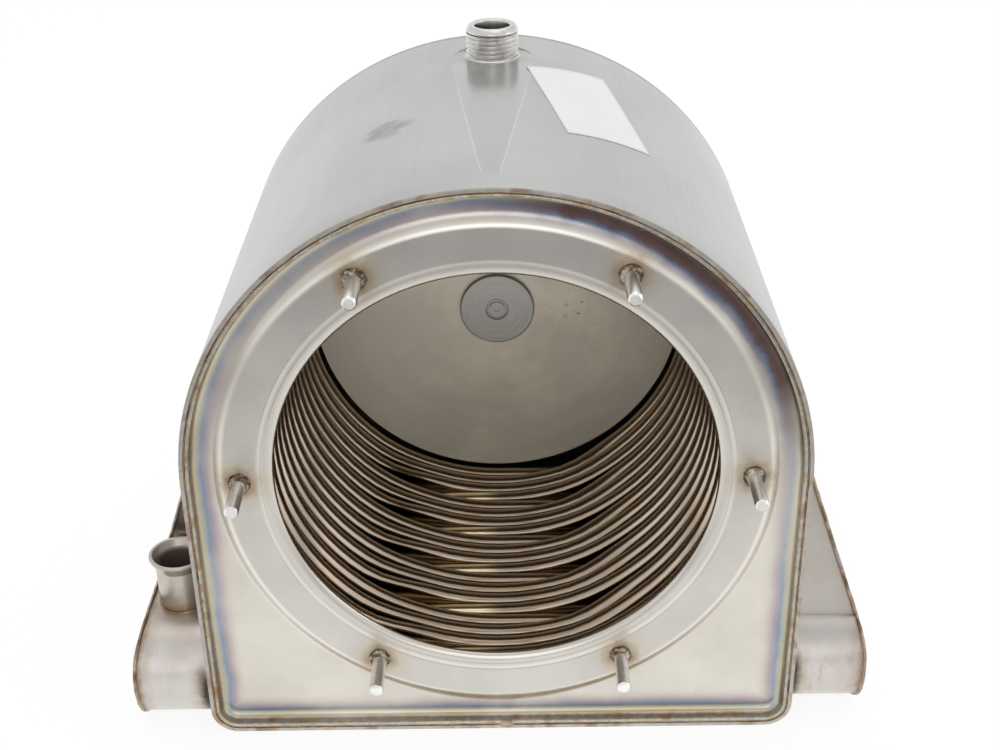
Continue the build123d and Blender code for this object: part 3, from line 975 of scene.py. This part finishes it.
def bead(name, points, radius, finish, closed=False):
    """A weld bead along a line of points."""
    curve = bpy.data.curves.new(name, "CURVE")
    curve.dimensions = "3D"
    curve.bevel_depth = radius
    curve.bevel_resolution = 3
    curve.use_fill_caps = True
    spline = curve.splines.new("POLY")
    spline.points.add(len(points) - 1)
    for spot, point in zip(spline.points, points):
        spot.co = (*point, 1)
    spline.use_cyclic_u = closed
    guide = bpy.data.objects.new(name, curve)
    mesh = bpy.data.meshes.new_from_object(guide)
    bm = bmesh.new()
    bm.from_mesh(mesh)
    bpy.data.objects.remove(guide)
    bpy.data.meshes.remove(mesh)
    bpy.data.curves.remove(curve)
    merge(bm)
    roughen(bm.verts, radius * 0.3, 2.5 * mm)
    return finish_piece(name, bm, [finish])


# Places on the part


def stud_circle():
    """Radius of the circle that the studs stand on."""
    place = middle_of("stud_1")
    return math.hypot(place.x, place.z - part().shell.axis_height)


def pad_half_width(y):
    """Half the pad's width at a place along Y."""
    shell = part().shell
    tip = front_y + shell.pad_tip_setback
    share = min(max((y - tip) / (nozzle_low.y - tip), 0), 1)
    return shell.pad_tip_width + share * (shell.pad_width - shell.pad_tip_width)


def turn_offset(total, sooner):
    """Place of a coil along the axis after some turns: crowded at the bottom, spread elsewhere."""
    coils = part().coils
    turn = min(math.floor(total), coils.turns - 1)
    angle = (total - turn) * 2 * math.pi
    crowded = (turn - coils.turns / 2) * coils.crowded_spacing
    spread = (turn - (coils.turns - 1) / 2) * coils.turn_spacing
    if angle > math.pi:
        angle = 2 * math.pi - angle
        crowded += coils.crowded_spacing
    share = (angle + sooner - coils.crowded_angle) / (coils.spread_angle - coils.crowded_angle)
    share = min(max(share, 0), 1)
    return crowded + share * share * (3 - 2 * share) * (spread - crowded)


def slanted_reach(z, reach, knee, knee_radius):
    """How far a slanted cover with a rounded knee and foot stands out from the shell at a height."""
    header = part().headers
    lean = math.atan2(reach, header.top - knee)
    tangent = knee_radius * math.tan(lean / 2)
    low = knee - tangent
    if z >= knee + tangent * math.cos(lean):
        return reach * (header.top - z) / (header.top - knee)
    if z > low:
        return reach - knee_radius + math.sqrt(knee_radius ** 2 - (z - low) ** 2)
    if z > header.foot_radius:
        return reach
    foot = header.foot_radius
    return reach - foot + math.sqrt(max(foot ** 2 - (foot - z) ** 2, 0))


def header_reach(z):
    """How far a header's cover stands out from the shell at a height."""
    header = part().headers
    return slanted_reach(z, header.reach, header.knee, header.knee_radius)


def press_header(bm):
    """Draws a header's lower side in to a tighter knee than its solid has."""
    header = part().headers
    wall = part().shell.width / 2
    for vert in bm.verts:
        out = abs(vert.co.x) - wall
        if out > 0 and vert.co.z < header.top - mm:
            blank = slanted_reach(vert.co.z, header.blank_reach, header.blank_knee, header.blank_radius)
            out *= min(header_reach(vert.co.z) / blank, 1)
            vert.co.x = math.copysign(wall + out, vert.co.x)


def header_face(side):
    """Place along Y of a header's upright front face."""
    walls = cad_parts[f"{side}_header_front"].data.vertices
    return min(vert.co.y for vert in walls if vert.co.z > part().headers.top / 2)


def header_edge(nose_front, face):
    """Points in Y and Z down a header's front: its upright face, any ledge and its round nose."""
    header = part().headers
    radius = header.nose_radius
    middle = nose_front + radius
    start = min(face, middle)
    meet = radius + math.sqrt(radius ** 2 - (start - middle) ** 2)
    points = [(face, header.top + (meet - header.top) * step / 24) for step in range(25)]
    if face > start:
        points += [(face + (start - face) * step / 8, meet) for step in range(1, 9)]
    first = math.atan2(meet - radius, start - middle)
    last = math.radians(240)
    for step in range(1, 33):
        angle = first + (last - first) * step / 32
        points.append((middle + radius * math.cos(angle), radius + radius * math.sin(angle)))
    return points


# Operators


class EXCHANGER_OT_shell(Operator):
    """Build the arched shell with its pressed pad"""

    bl_idname = "exchanger.shell"
    bl_label = "Shell"

    def execute(self, context):
        shell = part().shell
        axis = shell.axis_height
        radius = shell.width / 2
        crown = axis + radius * 0.9
        tip = front_y + shell.pad_tip_setback
        pad_wall = 0.7 * mm
        pad_reach = 26 * mm
        hole_reach = 20 * mm
        hole_radius = 8.5 * mm
        edge_round = 0.45 * mm
        slack = mm / 100
        nozzle = Vector((0, (nozzle_low.y + nozzle_high.y) / 2, 0))
        arc_setback = 5 * mm
        arc_centre = nozzle - Vector((0, arc_setback, 0))
        steps = 14
        bm = bmesh.new()
        hoop(bm, [(0, front_y + (back_y - front_y) * step / steps) for step in range(steps + 1)])

        def top_geom(low_y, half_width):
            """Faces of the crown's top behind a place, with their edges and points."""
            faces = []
            for face in bm.faces:
                middle = face.calc_center_median()
                if middle.z > crown and middle.y > low_y and abs(middle.x) < half_width:
                    faces.append(face)
            edges = {edge for face in faces for edge in face.edges}
            verts = {vert for face in faces for vert in face.verts}
            return faces + list(edges) + list(verts)

        for place in (tip, nozzle_low.y):
            cut(bm, top_geom(front_y, radius), (0, place, 0), (0, 1, 0))
        for side in (-1, 1):
            widening = side * (shell.pad_width - shell.pad_tip_width)
            across = (nozzle_low.y - tip, -widening, 0)
            cut(bm, top_geom(front_y, radius), (side * shell.pad_tip_width, tip, 0), across)
        behind = nozzle_low.y - mm
        for reach in (shell.pad_width, shell.pad_width + pad_wall):
            round_cut(bm, top_geom(behind, pad_reach), arc_centre, reach, math.pi, 12)
        for side in (-1, 1):
            cut(bm, top_geom(behind, pad_reach), (side * shell.pad_width, 0, 0), (1, 0, 0))
        hole_from = nozzle_low.y - 4 * mm
        round_cut(bm, top_geom(hole_from, hole_reach), nozzle, hole_radius, 2 * math.pi, 16)
        for vert in bm.verts:
            x, y, z = vert.co
            if z < crown or y < tip - slack:
                continue
            half = pad_half_width(y)
            inside = abs(x) <= half + slack
            if y > arc_centre.y:
                inside = math.hypot(x, y - arc_centre.y) <= shell.pad_width + slack
            if inside:
                vert.co.z = axis + math.sqrt(radius ** 2 - half ** 2)
        hole = []
        for face in bm.faces:
            offset = face.calc_center_median() - nozzle
            if offset.xy.length < hole_radius - mm / 2 and offset.z > axis + radius / 2:
                hole.append(face)
        bmesh.ops.delete(bm, geom=hole, context="FACES")
        satin = shell_finish()
        piece = finish_piece("shell_wrap_skin", bm, [satin], ["shell_wrap"], sharp=1.2)
        wall = piece.modifiers.new("sheet", "SOLIDIFY")
        wall.thickness = shell.sheet
        wall.offset = -1
        edge = piece.modifiers.new("edge", "BEVEL")
        edge.width = edge_round
        edge.segments = 3
        edge.limit_method = "ANGLE"
        edge.angle_limit = math.radians(50)
        return {"FINISHED"}


class EXCHANGER_OT_front_plate(Operator):
    """Build the front plate with its rim, raised ring and rolled lip"""

    bl_idname = "exchanger.front_plate"
    bl_label = "Front plate"

    def execute(self, context):
        shell = part().shell
        front = part().front
        axis = shell.axis_height
        sheet = front.sheet
        plate = front_y + shell.rim_depth
        ring = plate - front.ring_rise
        outer = shell.sheet + shell.seam_gap
        inner = outer + sheet
        back = plate + sheet
        bend = 2.5 * mm
        flat = inner + bend + 0.4 * mm
        bm = bmesh.new()
        turned_edge = rounded(
            [(flat, plate), (inner, plate), (inner, front_y), (outer, front_y), (outer, back), (flat, back)],
            0.6 * mm,
            3,
        )
        soft = rounded([(flat, plate), (inner, plate), (inner, plate - bend - mm)], bend, 6)
        rim = soft[:-1] + [
            (inset, y)
            for inset, y in turned_edge
            if y < plate - bend - mm / 2 or inset < inner - mm / 10 or y > plate + sheet / 2
        ]
        hoop(bm, rim)
        opening = front.opening_radius
        lip = opening + front.lip_width
        foot = front.ring_radius + front.slope_width
        margin = foot + 2 * mm
        face = rounded(
            [(margin, plate), (foot, plate), (front.ring_radius, ring), (lip + 1.2 * mm, ring)], 1.1 * mm, 5
        )
        step = 0.3 * mm
        shoulder = lip - 1.4 * mm
        start = ring + 2.5 * step
        lines = [(lip + 0.9 * mm, ring + step), (lip - 1.1 * mm, ring + 1.5 * step), (shoulder, start)]
        across = shoulder - opening
        down = front.lip_depth - 2.5 * step
        turns = [math.pi / 2 * count / 8 for count in range(1, 9)]
        roll = [
            (opening + across * (1 - math.sin(turn)), start + down * (1 - math.cos(turn))) for turn in turns
        ]
        rear = [
            (opening + sheet * 0.8, ring + front.lip_depth + 0.2 * mm),
            (lip, ring + sheet),
            (front.ring_radius, ring + sheet),
            (foot, back),
            (margin, back),
        ]
        points = [(radius, y, axis) for radius, y in face + lines + roll + rear]
        spin_profile(bm, points, (0, 0, axis), (0, 1, 0), 144)
        merge(bm)
        for place in (plate, back):
            level = [
                edge for edge in boundary(bm) if all(abs(vert.co.y - place) < mm / 10 for vert in edge.verts)
            ]
            bmesh.ops.triangle_fill(bm, edges=level, use_beauty=True, normal=(0, -1, 0))
        finish_piece("front_plate_skin", bm, [plate_finish()], ["front_plate"], sharp=40)
        return {"FINISHED"}


class EXCHANGER_OT_seams(Operator):
    """Build the welds along the shell's front and back edges"""

    bl_idname = "exchanger.seams"
    bl_label = "Seams"

    def execute(self, context):
        shell = part().shell
        finish = seam_finish()
        middle = shell.sheet + shell.seam_gap / 2
        near = middle - shell.seam_gap * 0.6
        far = middle + shell.seam_gap * 0.6
        for node, edge, inwards in (("front_seam", front_y, 1), ("back_seam", back_y, -1)):
            bm = bmesh.new()
            crest = edge + inwards * 0.3 * mm
            root = edge + inwards * shell.rim_depth
            hoop(bm, rounded([(near, root), (near, crest), (far, crest), (far, root)], 0.35 * mm, 4))
            crown = [vert for vert in bm.verts if abs(vert.co.y - root) > shell.rim_depth / 2]
            roughen(crown, 0.15 * mm, 3.5 * mm)
            finish_piece(node + "_bead", bm, [finish], [node])
        nub_size = (3.4 * mm, 1.3 * mm, 1.7 * mm)
        nub_place = (2 * mm, front_y + 0.6 * mm, 1.8 * mm)
        bm = bmesh.new()
        bmesh.ops.create_icosphere(bm, subdivisions=3, radius=1.0)
        bmesh.ops.scale(bm, vec=nub_size, verts=bm.verts[:])
        bmesh.ops.translate(bm, vec=nub_place, verts=bm.verts[:])
        roughen(bm.verts, 0.3 * mm, 1.5 * mm)
        finish_piece("front_seam_nub", bm, [finish])
        return {"FINISHED"}


class EXCHANGER_OT_coils(Operator):
    """Wind the coils of flattened tube"""

    bl_idname = "exchanger.coils"
    bl_label = "Coils"

    def execute(self, context):
        coils = part().coils
        finish = coil_finish()
        for index in range(coil_count):
            self.wind(f"coil_{index + 1}", coils, finish)
        return {"FINISHED"}

    def wind(self, node, coils, finish):
        """One coil: its section is spun with a lift, then its turns are set where they crowd or spread."""
        axis = part().shell.axis_height
        middle = middle_of(node).y
        run = part().shell.width / 2 - part().shell.sheet
        half = coils.tube_thickness / 2
        inner_z = axis - coils.inner_radius - half
        outer_z = axis - coils.inner_radius - coils.tube_depth + half
        bm = bmesh.new()
        start = bm.verts.new((0, middle - half, inner_z))
        last = sweep_point(bm, start, (0, middle, inner_z), (-1, 0, 0), math.pi, 8)
        last = bmesh.ops.extrude_vert_indiv(bm, verts=[last])["verts"][0]
        last.co.z = outer_z
        last = sweep_point(bm, last, (0, middle, outer_z), (-1, 0, 0), math.pi, 8)
        bm.edges.new((last, start))
        steps = 72
        pitch = coils.turn_spacing
        bmesh.ops.spin(
            bm,
            geom=bm.verts[:] + bm.edges[:],
            cent=(0, middle, axis),
            axis=(0, -1, 0),
            dvec=(0, pitch / steps, 0),
            angle=2 * math.pi * coils.turns,
            steps=steps * coils.turns,
        )
        for vert in bm.verts:
            share = math.atan2(vert.co.x, axis - vert.co.z) / (2 * math.pi) % 1
            total = round((vert.co.y - middle) / pitch - share) + share
            total = min(max(total, 0), coils.turns)
            radius = math.hypot(vert.co.x, axis - vert.co.z)
            sooner = coils.lean_angle * (1 - (radius - coils.inner_radius) / coils.tube_depth)
            vert.co.y += turn_offset(total, sooner) - pitch * total
        for side in (-1, 1):
            rim = []
            for edge in boundary(bm):
                corner = edge.verts[0].co
                if (corner.y - middle) * side > 0 and abs(corner.x) < mm:
                    rim.append(edge)
            grown = bmesh.ops.extrude_edge_only(bm, edges=rim)["geom"]
            bmesh.ops.translate(bm, vec=(side * run, 0, 0), verts=points_of(grown))
        bmesh.ops.holes_fill(bm, edges=boundary(bm))
        finish_piece(node + "_tube", bm, [finish], [node], sharp=60)


class EXCHANGER_OT_rear_disc(Operator):
    """Finish the rear disc, its post, plug and screw"""

    bl_idname = "exchanger.rear_disc"
    bl_label = "Rear disc"

    def execute(self, context):
        brushed = disc_finish()
        turned = plug_finish()
        for node in ("rear_disc", "disc_post"):
            skin_node(node, brushed)
        for node in ("disc_plug", "plug_screw"):
            skin_node(node, turned)
        return {"FINISHED"}


class EXCHANGER_OT_studs(Operator):
    """Build the threaded burner door studs with the welds at their feet"""

    bl_idname = "exchanger.studs"
    bl_label = "Studs"

    def execute(self, context):
        bright = bright_finish("machined_stud_steel", 1.6, 0.24)
        burnt = soot_finish()
        for index in range(stud_count):
            self.stand(index, bright, burnt)
        return {"FINISHED"}

    def stand(self, index, bright, burnt):
        """One stud along -Y, chamfered at its tip, in a rough ring of weld."""
        threads = part().threads
        node = f"stud_{index + 1}"
        low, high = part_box(node)
        middle = (low + high) / 2
        tall = high.y - low.y
        radius = threads.stud_radius
        chamfer = 0.7 * mm
        thread_depth = 0.16 * mm
        bm = bmesh.new()
        thread(bm, radius, thread_depth, threads.stud_pitch, tall, 24)
        for vert in bm.verts:
            limit = radius - chamfer + (tall - vert.co.z)
            reach = vert.co.xy.length
            if reach > limit:
                vert.co.xy *= limit / reach
        bmesh.ops.holes_fill(bm, edges=boundary(bm))
        rod = set(bm.faces)
        wide = threads.stud_weld
        ring = [(radius * 0.9, 1.9 * mm), (radius + 0.5 * mm, 1.5 * mm), (wide, 0.5 * mm), (wide, 0)]
        before = set(bm.verts)
        turn_upright(bm, rounded(ring, 0.5 * mm, 4), 28)
        fresh = [vert for vert in bm.verts if vert not in before]
        bmesh.ops.translate(bm, vec=middle, verts=fresh)
        roughen(fresh, 0.5 * mm, 1.7 * mm)
        bmesh.ops.translate(bm, vec=-middle, verts=fresh)
        for face in bm.faces:
            face.material_index = 0 if face in rod else 1
        turn = Matrix.Rotation(math.radians(90), 4, "X")
        place = Matrix.Translation((middle.x, high.y, middle.z)) @ turn
        bmesh.ops.transform(bm, matrix=place, verts=bm.verts[:])
        finish_piece(node + "_threaded", bm, [bright, burnt], [node])


class EXCHANGER_OT_nozzle(Operator):
    """Build the threaded nozzle on top of the shell"""

    bl_idname = "exchanger.nozzle"
    bl_label = "Top nozzle"

    def execute(self, context):
        threads = part().threads
        radius = (nozzle_high.x - nozzle_low.x) / 2
        tall = nozzle_high.z - nozzle_low.z
        collar = tall - threads.nozzle_collar
        bore = threads.nozzle_bore
        thread_depth = 0.85 * mm
        bm = bmesh.new()
        thread(bm, radius, thread_depth, threads.nozzle_pitch, collar, 48)
        neck = radius - 0.95 * mm
        collar_radius = radius - 0.1 * mm
        core = radius - 1.2 * mm
        profile = [
            (neck, collar - 0.7 * mm),
            (neck, collar),
            (collar_radius, collar + 0.5 * mm),
            (collar_radius, tall - 1.7 * mm),
            (radius - 1.3 * mm, tall),
            (bore + 0.5 * mm, tall),
            (bore, tall - 0.6 * mm),
            (bore, 0),
            (core, 0),
        ]
        turn_upright(bm, rounded(profile, 0.18 * mm, 2), 72)
        foot = [(core, 0.8 * mm), (radius + 0.35 * mm, 0.45 * mm), (radius + 0.7 * mm, 0)]
        turn_upright(bm, rounded(foot, 0.3 * mm, 3), 72)
        centre = middle_of("top_nozzle")
        bmesh.ops.translate(bm, vec=(centre.x, centre.y, nozzle_low.z), verts=bm.verts[:])
        bright = bright_finish("machined_nozzle_steel", 1.2, 0.16)
        finish_piece("top_nozzle_threaded", bm, [bright], ["top_nozzle"], sharp=28)
        return {"FINISHED"}


class EXCHANGER_OT_headers(Operator):
    """Finish the side headers and run the welds along their covers"""

    bl_idname = "exchanger.headers"
    bl_label = "Headers"

    def execute(self, context):
        pickled = header_finish()
        tinted = seam_finish()
        wall = part().shell.width / 2
        sunk = 0.3 * mm
        weld_radius = 0.7 * mm
        for side, sign in (("left", -1), ("right", 1)):
            for wall_name in ("front", "back"):
                skin_node(f"{side}_header_{wall_name}", pickled, press_header)
            skin_node(f"{side}_header_cover", cover_finish(side), press_header)
            nose_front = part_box(f"{side}_header_front")[0].y
            edge = header_edge(nose_front, header_face(side))
            points = [(sign * (wall + header_reach(z) - sunk), y, z) for y, z in edge]
            bead(f"{side}_header_weld", points, weld_radius, tinted)
        return {"FINISHED"}


class EXCHANGER_OT_pipes(Operator):
    """Build the water pipes with their rolled mouths and the weld at the upright one's foot"""

    bl_idname = "exchanger.pipes"
    bl_label = "Water pipes"

    def execute(self, context):
        header = part().headers
        middle = middle_of("left_pipe")
        crest = 2 * header.nose_radius
        foot = crest - 3 * mm
        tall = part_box("left_pipe")[1].z - foot
        self.stand("left_pipe", pipe_finish(), tall, Matrix.Translation((middle.x, middle.y, foot)))
        low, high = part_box("right_pipe")
        back = middle_of("right_pipe")
        turn = Matrix.Rotation(math.radians(-90), 4, "X")
        place = Matrix.Translation((back.x, low.y, back.z)) @ turn
        self.stand("right_pipe", outlet_finish("drawn_pipe_end_steel", False), high.y - low.y, place)
        weld_radius = 0.4 * mm
        reach = header.pipe_radius + weld_radius / 4
        steps = 48
        points = []
        for step in range(steps):
            angle = 2 * math.pi * step / steps
            points.append((middle.x + reach * math.cos(angle), middle.y + reach * math.sin(angle), crest))
        bead("left_pipe_weld", points, weld_radius, seam_finish(), closed=True)
        return {"FINISHED"}

    def stand(self, node, finish, tall, place):
        """One pipe, its wall carried up to a flare and rolled over at the mouth."""
        header = part().headers
        outer = header.pipe_radius
        bore = outer - header.pipe_wall
        mouth = header.mouth_radius
        flare = tall - 3.5 * mm
        profile = [
            (bore, 0),
            (outer, 0),
            (outer, flare - 1.5 * mm),
            (mouth - 0.2 * mm, tall - 1.4 * mm),
            (mouth, tall - 0.6 * mm),
            (mouth - 0.5 * mm, tall),
            (mouth - 1.5 * mm, tall - 0.2 * mm),
            (bore, flare - 0.5 * mm),
            (bore, mm),
            (bore, 0),
        ]
        bm = bmesh.new()
        turn_upright(bm, rounded(profile, 0.4 * mm, 3), 56)
        merge(bm)
        bmesh.ops.transform(bm, matrix=place, verts=bm.verts[:])
        finish_piece(node + "_drawn", bm, [finish], [node], sharp=40)


class EXCHANGER_OT_back(Operator):
    """Finish the back plate with the flue and drain outlets"""

    bl_idname = "exchanger.back"
    bl_label = "Back plate and outlets"

    def execute(self, context):
        drawn = outlet_finish("drawn_outlet_steel", False)
        skin_node("back_plate", outlet_finish("back_plate_steel", True))
        for node in ("flue_outlet", "drain_outlet"):
            skin_node(node, drawn)
        return {"FINISHED"}


class EXCHANGER_OT_sticker(Operator):
    """Lay a blank paper sticker on the shell"""

    bl_idname = "exchanger.sticker"
    bl_label = "Blank sticker"

    def execute(self, context):
        axis = part().shell.axis_height
        paper = 0.1 * mm
        lift = part().shell.width / 2 + 0.12 * mm
        near_left = Vector((math.radians(14.0), front_y + 59.4 * mm, 0))
        near_right = Vector((math.radians(30.8), front_y + 68.5 * mm, 0))
        far_left = Vector((math.radians(6.9), front_y + 130.9 * mm, 0))
        far_right = Vector((math.radians(23.4), front_y + 137.8 * mm, 0))
        bm = bmesh.new()
        bmesh.ops.create_grid(bm, x_segments=24, y_segments=24, size=0.5)
        for vert in bm.verts:
            across = vert.co.x + 0.5
            near = near_left.lerp(near_right, across)
            far = far_left.lerp(far_right, across)
            place = near.lerp(far, vert.co.y + 0.5)
            vert.co = (lift * math.sin(place.x), place.y, axis + lift * math.cos(place.x))
        bmesh.ops.recalc_face_normals(bm, faces=bm.faces[:])
        piece = finish_piece("blank_sticker", bm, [paper_finish()], recalculate=False)
        wall = piece.modifiers.new("paper", "SOLIDIFY")
        wall.thickness = paper
        wall.offset = 0
        return {"FINISHED"}


class EXCHANGER_OT_stage(Operator):
    """Set up the camera, the floor and the soft light"""

    bl_idname = "exchanger.stage"
    bl_label = "Stage"

    def execute(self, context):
        self.place_camera(context.scene)
        self.lay_floor()
        self.light_world(context.scene)
        self.hang_lamps()
        context.scene.view_settings.view_transform = "Standard"
        return {"FINISHED"}

    def place_camera(self, scene):
        """The camera stands where the picture was taken."""
        stage = part().stage
        camera = bpy.data.cameras.new("camera")
        camera.lens = stage.lens
        camera.sensor_width = 36
        camera.clip_start = 0.01
        aim = Matrix.Rotation(-stage.yaw, 4, "Z") @ Matrix.Rotation(math.pi / 2 - stage.pitch, 4, "X")
        scene.camera = add_object("camera", camera)
        scene.camera.matrix_world = Matrix.Translation(stage.eye) @ aim @ Matrix.Rotation(stage.roll, 4, "Z")

    def lay_floor(self):
        """A wide pale floor that is near white to the camera and keeps a soft shadow."""
        bm = bmesh.new()
        bmesh.ops.create_grid(bm, x_segments=1, y_segments=1, size=6.0)
        gap = 0.2 * mm
        bmesh.ops.translate(bm, vec=(0, 0, -gap), verts=bm.verts[:])
        mesh = bpy.data.meshes.new("floor")
        bm.to_mesh(mesh)
        bm.free()
        floor = add_object("floor", mesh)
        finish = Finish("pale_floor", metallic=0.0)
        finish.tint = part().stage.floor_tone
        finish.done(0.9)
        finish.shader.inputs["Specular IOR Level"].default_value = 0
        seen = finish.node("ShaderNodeLightPath", {}, {}, "Is Camera Ray")
        mirrored = finish.node("ShaderNodeLightPath", {}, {}, "Is Glossy Ray")
        ahead = finish.y * -1
        share = seen * 0.8 + (1 - seen) * mirrored
        white = (1.0, 1.0, 1.0)
        shade = finish.vary(ahead.rise(130, 500), white, 1, 0.5)
        light = finish.mix(seen, shade, white)
        glow = finish.node("ShaderNodeEmission", {}, {"Color": light, "Strength": 1.08})
        surface = Wire(finish, finish.shader.outputs["BSDF"])
        blend = finish.node("ShaderNodeMixShader", {}, {0: share, 1: surface, 2: glow})
        finish.feed(finish.tree.nodes["Material Output"].inputs["Surface"], blend)
        mesh.materials.append(finish.material)

    def light_world(self, scene):
        """White to the camera and to mirrors, a softer fill for everything else."""
        world = bpy.data.worlds.new("studio")
        scene.world = world
        world.use_nodes = True
        graph = Graph(world.node_tree)
        seen, mirrored, passed = (
            graph.node("ShaderNodeLightPath", {}, {}, f"Is {kind} Ray")
            for kind in ("Camera", "Glossy", "Transmission")
        )
        place = graph.node("ShaderNodeTexCoord", {}, {}, "Generated")
        height = graph.node("ShaderNodeSeparateXYZ", {}, {"Vector": place}, "Z")
        dimming = {"Value": height, "From Min": 0.1, "From Max": 0.6, "To Min": 1.0, "To Max": 0.8}
        white = graph.node("ShaderNodeMapRange", {}, dimming).most(seen)
        filling = {"Value": seen.most(mirrored).most(passed), "To Min": 0.72, "To Max": white}
        background = graph.tree.nodes["Background"].inputs
        graph.feed(background["Color"], (1, 1, 1, 1))
        graph.feed(background["Strength"], graph.node("ShaderNodeMapRange", {}, filling))

    def hang_lamps(self):
        """A large soft box overhead, a weak one in front and one on the right."""
        target = Vector((0, 0, 0.1))
        lamps = (
            ("overhead", (0.1, 0.15, 1.3), 1.3, 3.0),
            ("front", (0, -0.9, 0.3), 0.45, 0.5),
            ("side", (1.4, -0.3, 0.7), 0.8, 1.5),
        )
        for name, place, size, power in lamps:
            light = bpy.data.lights.new(name, "AREA")
            light.shape = "SQUARE"
            light.size = size
            light.energy = power
            aim = (Vector(place) - target).to_track_quat("Z", "Y").to_matrix().to_4x4()
            add_object(name, light).matrix_world = Matrix.Translation(place) @ aim


builders = (
    EXCHANGER_OT_shell,
    EXCHANGER_OT_front_plate,
    EXCHANGER_OT_seams,
    EXCHANGER_OT_coils,
    EXCHANGER_OT_rear_disc,
    EXCHANGER_OT_studs,
    EXCHANGER_OT_nozzle,
    EXCHANGER_OT_headers,
    EXCHANGER_OT_pipes,
    EXCHANGER_OT_back,
    EXCHANGER_OT_sticker,
    EXCHANGER_OT_stage,
)


class EXCHANGER_PT_sidebar(Panel):
    """Sizes, colours and build steps of the heat exchanger"""

    bl_idname = "EXCHANGER_PT_sidebar"
    bl_label = "Heat exchanger"
    bl_space_type = "VIEW_3D"
    bl_region_type = "UI"
    bl_category = "Exchanger"

    def draw(self, context):
        layout = self.layout
        settings = context.scene.exchanger
        for group in ("shell", "front", "coils", "threads", "headers", "tones", "stage"):
            box = layout.box()
            box.label(text=group.title())
            sizes = getattr(settings, group)
            for name in sizes.bl_rna.properties.keys():
                if name not in ("rna_type", "name"):
                    box.prop(sizes, name)
        for builder in builders:
            layout.operator(builder.bl_idname)


classes = (
    ShellSizes,
    FrontSizes,
    CoilSizes,
    ThreadSizes,
    HeaderSizes,
    FinishTones,
    StageSettings,
    ExchangerSettings,
    *builders,
    EXCHANGER_PT_sidebar,
)


def register():
    """Add the classes and the settings."""
    for entry in classes:
        bpy.utils.register_class(entry)
    bpy.types.Scene.exchanger = PointerProperty(type=ExchangerSettings)


def unregister():
    """Take the settings and the classes away."""
    del bpy.types.Scene.exchanger
    for entry in reversed(classes):
        bpy.utils.unregister_class(entry)


def main():
    """Build every piece in order."""
    register()
    for builder in builders:
        group, name = builder.bl_idname.split(".")
        getattr(getattr(bpy.ops, group), name)()


if __name__ == "__main__":
    main()
